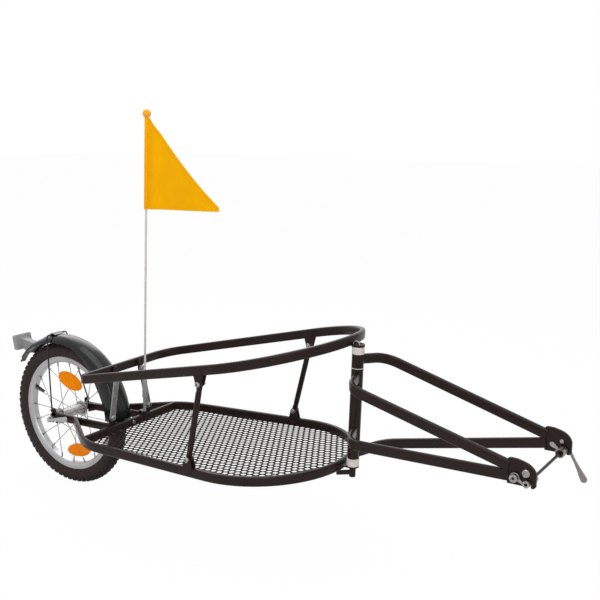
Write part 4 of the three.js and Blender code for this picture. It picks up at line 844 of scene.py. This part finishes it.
# %% Struts
strut_radius, tongue_length, tongue_thick = 6.6, 0.020, 0.0054
half_taper = [(0, 9), (2.8, 9), (5, 15), (strut_radius, 22)]
for side, word in sides:
    name = "strut_" + word
    foot, head = at(*feet[side]), at(*heads[side])
    along = (head - foot).normalized()
    span = (head - foot).length * 1000
    taper = half_taper + [(r, span - h) for r, h in half_taper[::-1]]
    pieces = [turned(name + "_tube", taper, foot, along, 28)]
    for near, inward in ((foot, along), (head, -along)):
        far = near + inward * tongue_length
        middle = (near.y + far.y - tongue_thick) / 2
        outline = link_outline((near.x * 1000, near.z * 1000), 7.5, (far.x * 1000, far.z * 1000), 5.6)
        shape = [Vector((u / 1000, middle, w / 1000)) for u, w in outline]
        pieces.append(plate(name + "_tongue", shape, Vector((0, tongue_thick, 0)), 0.9))
    fit(join(*pieces), name)

# %% [markdown]
# ## Bolts
# The bolts are zinc plated, with a domed head and a socket, a washer and a lock nut. Head and shank are
# one turned piece. The nut is turned in six steps, which makes a hexagon.

# %% Bolts from head to nut
washer_thick, shank_past = 0.9, 1.2


def bolt(name, start, end, sizes):
    radius, head_radius, head_height, nut_radius, nut_height = sizes
    axis = (end - start).normalized()
    grip = (end - start).length * 1000
    socket, top = head_radius * 0.42, -head_height - gap
    nut_foot, nut_end = grip + gap + washer_thick, grip + nut_height
    shank = [(0, top + head_height * 0.6), (socket, top + head_height * 0.6), (socket, top),
             (head_radius * 0.62, top), (head_radius * 0.88, top + head_height * 0.25),
             (head_radius, top + head_height * 0.7), (head_radius, -gap), (radius, -gap),
             (radius, nut_end + shank_past), (0, nut_end + shank_past)]
    pieces = [turned(name + "_shank", shank, start, axis, 28)]
    washer, nut = (nut_radius, grip + gap, nut_foot, 28), (nut_radius * 0.96, nut_foot, nut_end, 6)
    for outer, low, high, steps in (washer, nut):
        ring = [(radius * 0.9, low), (outer, low), (outer, high), (radius * 0.9, high)]
        pieces.append(turned(name + "_ring", ring, start, axis, steps))
    round_edges(pieces[-1], 0.5)
    return fit(join(*pieces), name)


plate_bolt_x, plate_bolt_z, plate_outside, plate_inside = wheel_base - 4, hub_drop + 17.7, 107, 101
strut_bolt, plate_bolt = (3, 6.5, 4.5, 6.5, 4), (3, 8, 3, 4.5, 3)
bracket_bolts = (("bracket_foot_bolt_", lower_bolt, 7.4), ("bracket_head_bolt_", upper_bolt, 5))
for side, word in sides:
    for name, (x, y, z) in (("strut_foot_bolt_", feet[side]), ("strut_head_bolt_", heads[side])):
        bolt(name + word, at(x, y + side * ear_outside, z), at(x, y - side * ear_outside, z), strut_bolt)
    for name, (y, z), head in bracket_bolts:
        ends = [at(x, side * y, z) for x in (bracket_front, tab_rear)]
        bolt(name + word, *ends, (2.5, head, head - 1.5, 5, 3.5))
    ends = [at(plate_bolt_x, side * y, plate_bolt_z) for y in (plate_outside, plate_inside)]
    bolt("plate_bolt_" + word, *ends, plate_bolt)

# %% [markdown]
# ## Steering head
# Two lugs on the nose of the frame hold a steel pin. The fork's sleeves turn on it between two nylon
# bushes. The axis leans forward by 2.26 degrees, so every turned piece here is spun round that line.

# %% Lugs, pin, sleeves and bushes
lean = math.radians(2.26)
head_axis = Vector((math.sin(lean), 0, math.cos(lean)))
steering_x, pin_reach, arm_drop = 878.6, 0.0085, 0.004
head_foot = at(steering_x)
for name in ("head_lug_top", "head_lug_bottom"):
    softened(name, 0.7)
pin = softened("head_pin", 0.7)
for point in pin.data.vertices:
    away = point.co - head_foot
    away -= head_axis * away.dot(head_axis)
    if away.length > pin_reach:
        point.co.z -= arm_drop
top_lug, bottom_lug = hoop_z(hoop_nose) - 11.6, 36.3
tube_top, tube_bottom = top_lug - 16.4, 54.5
seam_top, seam_bottom = tube_top - 31, tube_bottom + 36.5
sleeve_bore, sleeve_radius, washer_radius = 11.2, 13.2, 13.5


def on_head(name, profile):
    return turned(name, profile, head_foot, head_axis, 48)


def sleeve(name, bottom, top):
    half = [(sleeve_bore, bottom), (sleeve_radius - 0.5, bottom), (sleeve_radius, bottom + 0.5)]
    return on_head(name, half + [(r, top + bottom - h) for r, h in half[::-1]])


fit(sleeve("middle_sleeve", seam_bottom + gap, seam_top - gap), "head_tube")
low, high = seam_top - 0.9, seam_top + 0.6
thrust = [(sleeve_bore, low), (washer_radius, low), (washer_radius, high), (sleeve_bore, high)]
dress(on_head("thrust_washer", thrust), "head_tube", "cream_plastic")


def bush(name, face, end):
    inwards, reach = (1 if end > face else -1), abs(end - face)
    rim = [(6.3, 0.3), (13.5, 0.3), (13.9, 0.7), (13.9, reach - 0.7), (13.5, reach - 0.3),
           (10.9, reach - 0.3), (10.9, reach + 18), (6.3, reach + 18)]
    return fit(on_head(name, [(r, face + inwards * h) for r, h in rim]), name)


bush("bush_top", top_lug, tube_top)
bush("bush_bottom", bottom_lug, tube_bottom)

# %% [markdown]
# The keeper is a bent wire clip with a pale plastic coat, which stops the pin from dropping out. It is a
# round tube run along half a circle over the top lug.

# %% Keeper
keeper_middle, keeper_radius, keeper_y = 0.5, 7.9, -10
across = Vector((math.cos(lean), 0, -math.sin(lean)))
half_circle = arc_points((keeper_middle, top_lug + 5.3), keeper_radius, 180, 0, 18)
keeper_foot = head_foot + Vector((0, keeper_y, 0)) / 1000
keeper_line = [keeper_foot + (head_axis * z + across * x) / 1000 for x, z in half_circle]
fit(tube_run("keeper_clip", keeper_line, radius=1.25), "pin_keeper")

# %% [markdown]
# ## Fork
# The left arm carries the top and bottom sleeves, the right arm the one between. Each has an upper and a
# lower leg, which turn at a shoulder and run to the hitch plate.

# %% Legs
shoulder_x, shoulder_y, elbow_bend = 914.4, 80.5, 47
leg_end, leg_end_y, into_plate = wheel_base - 40 - gap, 103.5, 0.004
upper_end_z, lower_end_z, sleeve_edge = 155.5, 136, 0.5
fall_far, weld_top, weld_bottom = 10.9, 9.5, 16


def leg(name, side, root_z, fall, end_z, own_sleeve=None):
    root = at(steering_x + root_z * math.tan(lean) + 3, side, root_z - fall * 0.02)
    shoulder, end = at(shoulder_x, side * shoulder_y, root_z - fall), at(leg_end, side * leg_end_y, end_z)
    past = end + (end - shoulder).normalized() * into_plate
    route = rounded_route([(root, 0), (shoulder, elbow_bend), (past, 0)])
    pieces = [tube_run(name + "_tube", route, frame_section)]
    if own_sleeve:
        pieces.append(sleeve(name + "_sleeve", *own_sleeve))
    return fit(join(*pieces), name)


leg("fork_upper_left", 1, tube_top - sleeve_edge - half_tube, fall_far, upper_end_z, (seam_top, tube_top))
leg("fork_upper_right", -1, seam_top - weld_top - half_tube, 1.5, upper_end_z)
leg("fork_lower_left", 1, tube_bottom + sleeve_edge + half_tube, -3, lower_end_z, (tube_bottom, seam_bottom))
leg("fork_lower_right", -1, seam_bottom + weld_bottom + half_tube, 0.5, lower_end_z)

# %% [markdown]
# ## Hitch
# The plates, catches, nuts, skewer and lever are softened copies. The plates are cut steel, coated
# thickly, which rounds their edges, so their bevel is wide.

# %% Dark steel and forged aluminium
grained("skewer", "dark_turned_steel", 0.3, (8, "#2E2623", "#443B37"), (1.2, 0.04, 0.3), metallic=1.0)
lever_tones, lever_grain = (12, "#7C736F", "#958C88"), (0.9, 0.06, 0.35)
grained("lever", "satin_forged_aluminium", 0.36, lever_tones, lever_grain, metallic=1.0)
dark_steel, forged_alloy = finishes["skewer"], finishes["lever"]

# %% Hitch pieces
for _, word in sides:
    softened("hitch_plate_" + word, 1.0, segments=3)
    softened("hitch_catch_" + word, 0.35)
    softened("hitch_nut_" + word, 0.6)


def washer_profile(inner, outer, back, front):
    return [(inner, back), (outer, back), (outer, front), (inner, front)]


def mark(name, node_name, profile, centre, finish):
    dress(turned(name, profile, centre, Y, 28), node_name, "zinc_steel", finish)


knob_x, knob_z = -0.0234, 0.0085
nut_face_at, nut_face = Vector((0, 0.076, 0)), washer_profile(3.3, 7.8, -0.25, 0.2)
for side, word in sides:
    low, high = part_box("hitch_catch_" + word)
    knob = Vector((knob_x, low[1] if side < 0 else high[1], knob_z))
    # The dark steel disc in each knob's middle is painted shade: it stands for the shade inside a hex socket,
    # which is not cut.
    socket, ring = washer_profile(0, 3.1, -0.25, 0.25), washer_profile(5.2, 6.4, -0.5, 0.2)
    mark("painted_socket_shade_" + word, "hitch_catch_" + word, socket, knob, dark_steel)
    mark("catch_ring_" + word, "hitch_catch_" + word, ring, knob, finishes["zinc_steel"])
mark("nut_face", "hitch_nut_left", nut_face, nut_face_at, dark_steel)
softened("hitch_skewer", 0.5, finish=dark_steel)

# %% Neck of the lever
lever = softened("hitch_lever", 1.2, segments=3, finish=forged_alloy)
lever_root, lever_length = Vector((0, 0.126, 0)), 0.081
lever_way, lever_side = Vector((0.5, 0, -0.866)), Vector((0.866, 0, 0.5))
for share, narrower in ((0.22, 0.25), (0.4, 0.35), (0.62, 0.12)):
    waist = lever_root + lever_way * lever_length * share
    edit(lever)
    bpy.ops.mesh.bisect(plane_co=waist, plane_no=lever_way)
    bpy.ops.object.mode_set(mode="OBJECT")
    for point in lever.data.vertices:
        if point.select and abs((point.co - waist).dot(lever_way)) < 1e-5:
            point.co -= lever_side * (point.co - waist).dot(lever_side) * narrower
settle(lever)

# %% [markdown]
# ## Tyre
# A tyre is turned: its section is drawn once and spun round the axle. The tread is small rubber blocks,
# one modelled and copied round the wheel in staggered rows.

# %% Tyre body
hub = at(0)
tyre_middle, tyre_radius, bead_radius, bead_y = 172, 20.2, 153, 10.2
carcass = arc_points((0, tyre_middle), tyre_radius, -28, 208, 22)
section = [(r, y) for y, r in carcass] + [(bead_radius, -bead_y), (bead_radius, bead_y)]
rubber = turned("tyre_body", section, hub, Y, 96)
print("tyre body", len(rubber.data.polygons), "faces")

# %% Tread blocks
block_depth, block_taper, block_middle, blocks_round = 3.2, 0.82, 0.7, 66


def tread_block(y_mm, width, length):
    let_go()
    bpy.ops.mesh.primitive_cube_add(size=1, location=(0, 0, 0))
    block = bpy.context.object
    block.name = "tread_row"
    bpy.ops.transform.resize(value=(length / 1000, width / 1000, block_depth / 1000))
    pick_faces(freeze(block), lambda face: face.normal.z > 0.9)
    bpy.ops.transform.resize(value=(block_taper, block_taper, 1))
    let_go()
    lean_over = Matrix.Rotation(-math.asin(y_mm / tyre_radius), 4, "X")
    lift = Matrix.Translation((0, 0, (tyre_radius + block_middle) / 1000))
    block.matrix_world = Matrix.Translation((0, 0, tyre_middle / 1000)) @ lean_over @ lift
    return freeze(block)


def round_wheel(block, start):
    turns = [2 * math.pi * (k + start) / blocks_round for k in range(blocks_round)]
    places = [Matrix.Translation(hub) @ Matrix.Rotation(turn, 4, "Y") for turn in turns]
    return freeze(join(*copies_of(block, places)))


tread_rows = ((0, 8, 11, 0), (-9, 7, 10, 0.5), (9, 7, 10, 0.5), (-16.2, 6.5, 8, 0), (16.2, 6.5, 8, 0))
tread = [round_wheel(tread_block(y, width, length), start) for y, width, length, start in tread_rows]
fit(settle(join(rubber, *tread), "tyre_finished", 30), "tyre")
softened("inner_tube", 0.3)

# %% [markdown]
# ## Rim
# The rim is an extruded aluminium channel, rolled into a ring: a deep box with two flanges that hold the
# beads.

# %% Rim
flange = [(159, 12.5), (159, 10.9), (157.2, 10.7), (151.5, 10.7)]
box = [(147.4, -12.5), (145.5, -11.9), (141, -8.8), (140, -7.4)]
channel = turned("rim_channel", mirrored(flange) + mirrored(box), hub, Y, 96)
fit(settle(channel, smooth_deg=28), "rim")

# %% [markdown]
# ## Hub and spokes
# The hub shell is turned, with a flange at each end. Twenty spokes lean forwards and back in turn, and
# cross on the way to the rim. A spoke with its nipple is modelled once and copied.

# %% Hub shell
half_shell = [(12.2, 0), (12.6, 14), (14, 30), (14.6, 36), (19.4, 36.3), (21, 37), (21, 39), (20.2, 39.8),
              (13.4, 40), (13, 45.2), (12.4, 45.8), (9.5, 45.8)]
shell = half_shell[::-1] + [(r, -y) for r, y in half_shell[1:]]
hub_shell = turned("hub_shell", shell, hub, Y, 48)
print("hub shell", len(hub_shell.data.polygons), "faces")

# %% One spoke, copied twenty times
spoke_count, flange_radius, flange_y, nipple_radius, crossing = 20, 17.5, 38, 141, math.radians(62)


def spoke_ends(k):
    turn = 2 * math.pi * k / spoke_count
    root = turn + crossing * (1 if k % 4 < 2 else -1)
    y = flange_y if k % 2 else -flange_y
    inner = at(flange_radius * math.cos(root), y, flange_radius * math.sin(root))
    return inner, at(nipple_radius * math.cos(turn), 0, nipple_radius * math.sin(turn))


def spoke_place(k):
    inner, outer = spoke_ends(k)
    return Matrix.Translation(inner) @ (outer - inner).to_track_quat("Z", "Y").to_matrix().to_4x4()


inner, outer = spoke_ends(0)
spoke_mm = (outer - inner).length * 1000
wire = [(0, 0), (1.0, 0.3), (1.0, spoke_mm - 13), (1.9, spoke_mm - 12.4), (2.0, spoke_mm - 2), (1.4, spoke_mm),
        (0, spoke_mm)]
first_spoke = turned("spoke", wire, Vector((0, 0, 0)), (0, 0, 1), 10)
spokes = [settle(spoke) for spoke in copies_of(first_spoke, [spoke_place(k) for k in range(spoke_count)])]
fit(join(hub_shell, *spokes), "hub_and_spokes")
for name in ("wheel_axle", "wheel_skewer"):
    softened(name, 0.6)
softened("wheel_lever", 1.2, segments=3)

# %% [markdown]
# ## Spoke reflectors
# Each reflector is a flat oval of amber acrylic with a raised field, a ridge across the middle where its
# two grids of prisms meet, and a clip at each end.

# %% Reflectors between the spokes
half_length, half_height, border, clip_at = 43, 20, 3, 30
stud = mirrored([(0, -3.4), (2.2, -3.4), (2.8, -2.6)])


def oval(a, b, steps=40):
    turns = [2 * math.pi * k / steps for k in range(steps)]
    return [(a * math.cos(turn), b * math.sin(turn)) for turn in turns]


def layer(name, points, y, thick, edge_mm):
    return plate(name, [Vector((u, y, w)) / 1000 for u, w in points], Vector((0, -thick / 1000, 0)), edge_mm)


def spoke_reflector(name, degrees, reach, inset, roll):
    lens = layer(name + "_lens", oval(half_length, half_height), 2.1, 4.2, 0.9)
    field = layer(name + "_field", oval(half_length - border, half_height - border), -2.1, 0.9, 0.5)
    ridge = layer(name + "_ridge", ((-1.2, -12), (1.2, -12), (1.2, 12), (-1.2, 12)), -3.0, 0.6, 0.3)
    clips = [turned(name + "_clip", stud, Vector((u / 1000, 0, 0)), Y, 20) for u in (-clip_at, clip_at)]
    whole = join(lens, field, ridge, *clips)
    tilt = Matrix.Rotation(math.radians(-17), 4, "X")
    rolled = Matrix.Rotation(math.radians(roll), 4, "Y")
    lift = Matrix.Translation((0, -inset / 1000, reach / 1000))
    turn = Matrix.Rotation(math.radians(90 - degrees), 4, "Y")
    whole.matrix_world = Matrix.Translation(hub) @ turn @ lift @ rolled @ tilt
    return fit(settle(whole, name + "_oval"), name)


spoke_reflector("spoke_reflector_upper", degrees=80.5, reach=94, inset=12.5, roll=9)
spoke_reflector("spoke_reflector_lower", degrees=-70.5, reach=104, inset=10.6, roll=4.5)

# %% [markdown]
# ## Mudguard
# The mudguard is a moulded arch that follows the tyre. Its section is drawn once and spun about a point
# near the axle, then given its wall. Towards the front its skirts hang deeper, so their points are moved
# inwards.

# %% Arch section, spin and skirts
guard_x, guard_z, guard_radius, lip = -9, 2, 212, 4
guard_centre = at(guard_x, 0, guard_z)


def arch_section(half_width, drop, steps=14):
    turns = [math.pi * (k / steps - 0.5) for k in range(steps + 1)]
    crown = [(half_width * math.sin(turn), drop * math.cos(turn) - drop) for turn in turns]
    return [(-half_width, -drop - lip)] + crown + [(half_width, -drop - lip)]


def arch(name, radius, half_width, drop, front, rear, skirt_at, steps):
    turn = math.radians(front)
    up = Vector((math.cos(turn), 0, math.sin(turn)))
    section = arch_section(half_width, drop)
    piece = draw(name, [guard_centre + (up * (radius + h) + Vector((0, y, 0))) / 1000 for y, h in section])
    bpy.ops.mesh.spin(steps=steps, angle=math.radians(rear - front), center=guard_centre, axis=Y)
    bpy.ops.mesh.select_all(action="SELECT")
    bpy.ops.mesh.remove_doubles(threshold=same_point)
    let_go()
    for point in piece.data.vertices:
        spoke = point.co + piece.location - guard_centre
        spoke.y = 0
        if spoke.length * 1000 < radius - drop - lip / 2:
            degrees = math.degrees(math.atan2(spoke.z, spoke.x))
            point.co += spoke.normalized() * (drop + lip - skirt_at(degrees)) / 1000
    edit(piece)
    bpy.ops.mesh.normals_make_consistent(inside=False)
    return settle(piece)


def deep_in_front(degrees):
    deep, shallow, deep_until, shallow_from = 46, 19, 29, 76
    share = min(1, max(0, (degrees - deep_until) / (shallow_from - deep_until)))
    return deep + (shallow - deep) * (share * share * (3 - 2 * share))


def walled(piece, wall_mm=2, edge_mm=0.5):
    return settle(round_edges(applied(piece, "SOLIDIFY", thickness=wall_mm / 1000, offset=-1), edge_mm))


fit(walled(arch("mudguard_arch", guard_radius, 30, 15, 3, 108, deep_in_front, 50)), "mudguard")
tail = walled(arch("mudguard_tail_arch", 209.7, 26.5, 13, 98, 138, lambda degrees: 13.5, 20))

# %% [markdown]
# The tail ends in a small tongue that keeps spray off the reflector. It is cut from plate along two arcs.

# %% Tongue of the tail
tongue_top, tongue_under, tongue_width = 208.6, 206.6, 18
over, under = (arc_points((guard_x, guard_z), radius, 137, 147, 6) for radius in (tongue_top, tongue_under))
tongue = side_plate("tail_tongue", over + under[::-1], -tongue_width / 2, tongue_width)
fit(join(tail, tongue), "mudguard_tail")

# %% [markdown]
# ## Mudguard stay, bridge and screw
# One wire runs from the left dropout's eye over the guard to the right eye. A pressed bridge holds it on
# top, and a screw with a spacer holds the guard's front end to the crossbar.

# %% Black wire
grained("wire", "black_coated_wire", 0.38, (12, "#1D1B1B", "#2B2827"), (1.5, 0.05, 0.3), specular=0.2)

# %% Wire stay
wire_x, wire_radius, wire_shoulder, wire_bend = -42, 1.9, 34, 9
eye_outside, eye_sunk = 62, 6.6
wire_y = eye_outside + 1.5 + wire_radius
wire_turn = math.acos((wire_x - guard_x) / guard_radius)
top_z = guard_z + (guard_radius + gap + wire_radius) * math.sin(wire_turn)
feet_of_wire = [(at(eyelet[0], side * wire_y, eyelet[1]), 0) for side in (-1, 1)]
shoulders = [(at(wire_x, side * wire_shoulder, top_z), wire_bend) for side in (-1, 1)]
stay = tube_run("stay_wire", rounded_route([feet_of_wire[0], *shoulders, feet_of_wire[1]]), radius=wire_radius)
pin = [(0, 0), (2.1, 0), (2.1, 6.9), (5.2, 6.9), (5.4, 7.4), (5.4, 10.4), (4.9, 11), (0, 11)]
eyes = [turned("stay_eye", pin, at(eyelet[0], side * (eye_outside - eye_sunk), eyelet[1]), (0, side, 0), 20)
        for side in (-1, 1)]
fit(join(stay, *eyes), "mudguard_stay", finish=finishes["wire"])
softened("mudguard_bridge", 0.5)
softened("mudguard_screw", 0.6)

# %% [markdown]
# ## Rear reflector
# The housing is moulded and the lens is a thin acrylic plate. Both are softened copies, moved forward and
# narrowed as in the photograph.

# %% Rear reflector
forward, narrow_share = 0.006, 0.82
for piece in (softened("reflector_housing", 0.9, segments=3), softened("reflector_lens", 0.8)):
    for point in piece.data.vertices:
        point.co.x += forward
        point.co.y *= narrow_share

# %% [markdown]
# ## Flag pole
# A plastic socket on the crossbar takes a steel stub. A ferrule joins the stub to a glass fibre rod with a
# vinyl ball on top. They all stand on one line that leans forward by 3 degrees.

# %% Socket, stub, ferrule, pole and ball
mast_lean = math.radians(3.04)
mast_up = Vector((math.sin(mast_lean), 0, math.cos(mast_lean)))
mast_front = Vector((math.cos(mast_lean), 0, -math.sin(mast_lean)))
mast_foot = at(225.7, 44.6, bed_z(crossbar_x) + half_tube)
stub_end, rod_end, ball_middle, ball_radius = 73, 768, 772.6, 10.3
softened("flag_socket", 0.8)
stub = [(0, 0.3), (3.8, 0.3), (4.2, 0.9), (4.2, 46.7), (5.6, 46.7), (6.2, 47.5), (6.2, 91.5), (5.4, 93.3),
        (3.1, 93.3), (3.1, stub_end), (0, stub_end)]
fit(turned("ferrule_and_stub", stub, mast_foot, mast_up, 32), "flag_pole_base")
rod = [(0, stub_end + gap), (2.8, stub_end + gap), (2.8, rod_end - 1), (2.4, rod_end), (0, rod_end)]
fit(turned("fibre_rod", rod, mast_foot, mast_up, 20), "flag_pole")
ball = [(3.1, rod_end), (3.1, 762.6), (5.0, 762.4), (7.2, 764.6)]
ball += arc_points((0, ball_middle), ball_radius, -42, 86, 16) + [(0, ball_middle + ball_radius)]
fit(settle(turned("vinyl_ball", ball, mast_foot, mast_up, 40), smooth_deg=60), "flag_ball")

# %% [markdown]
# ## Pennant
# The pennant is one sheet of coated nylon, a triangle with a blunt tip, whose long edge is a sleeve for
# the pole. It is nearly flat in the photograph, with one soft ridge beside the sleeve. So a grid is
# tapered to the cut shape and its points are moved by a few slow waves.

# %% Cut of the pennant
flag_bottom, flag_top, flag_reach, tip_low, tip_high = 539, 762, 228, 557, 567
root_x, sleeve_end, hollow, flag_gap = 4.2, 13, 40, 0.3


def flag_edges(x):
    foot = flag_bottom + flag_gap
    low = foot + (tip_low - foot) * (x - root_x) / (flag_reach - root_x)
    share = max(0, (x - sleeve_end) / (flag_reach - sleeve_end))
    slope = flag_top + (tip_high - flag_top) * share - hollow * share * (1 - share)
    return low, min(flag_top - flag_gap, slope)


def flag_depth(x, z, low):
    fold = 4.5 * math.exp(-(((x - 24) / 14) ** 2))
    along = (x - root_x + 0.35 * (z - low)) / 210
    wave = 2.5 * ((x - root_x) / flag_reach) * math.sin(2 * math.pi * along)
    pucker = 0.35 * math.sin(z / 6.3) * math.exp(-(((x - 10) / 9) ** 2))
    ripple = 0.4 * math.sin((x + z) / 17) * (x / flag_reach)
    return wave - fold + pucker + ripple


def on_mast(x, y, z):
    return mast_foot + (mast_front * x + mast_up * z + Vector((0, y, 0))) / 1000


def grid(name, columns, rows):
    let_go()
    bpy.ops.mesh.primitive_grid_add(x_subdivisions=columns, y_subdivisions=rows, size=2)
    bpy.context.object.name = name
    return bpy.context.object


cloth = grid("pennant_cloth", 72, 56)
for point in cloth.data.vertices:
    x = root_x + (flag_reach - root_x) * ((point.co.x + 1) / 2) ** 1.15
    low, high = flag_edges(x)
    z = low + (high - low) * (point.co.y + 1) / 2
    point.co = on_mast(x, flag_depth(x, z, low), z)

# %% Sleeve and hems
inside, outside, round_end = 3.2, 5.4, 0.4
sleeve_wall = [(outside, flag_bottom), (5.0, flag_bottom - round_end), (inside, flag_bottom),
               (inside, flag_top), (5.0, flag_top + round_end), (outside, flag_top)]
sleeve_cloth = turned("pennant_sleeve", sleeve_wall, mast_foot, mast_up, 24)
hem_start, hem_end, hem_width, hem_thick = root_x + 6, flag_reach - 0.5, 7, 0.0011


def hem(name, on_top):
    strip = grid(name, 60, 1)
    for point in strip.data.vertices:
        x = hem_start + (hem_end - hem_start) * (point.co.x + 1) / 2
        low, high = flag_edges(x)
        edge, turned_in = (high, high - hem_width) if on_top else (low, low + hem_width)
        if not low + 1 <= turned_in <= high - 1:
            turned_in = (low + high) / 2
        z = edge if point.co.y < 0 else turned_in
        point.co = on_mast(x, flag_depth(x, z, low) - flag_gap, z)
    applied(strip, "SOLIDIFY", thickness=hem_thick, offset=0, use_even_offset=False)
    return settle(strip, smooth_deg=50)


hems = [hem("pennant_hem_top", True), hem("pennant_hem_low", False)]
for piece in [sleeve_cloth, *hems]:
    dress(piece, "flag_pennant", "flag_cloth")
settle(cloth, smooth_deg=60)
fit(cloth, "flag_pennant")
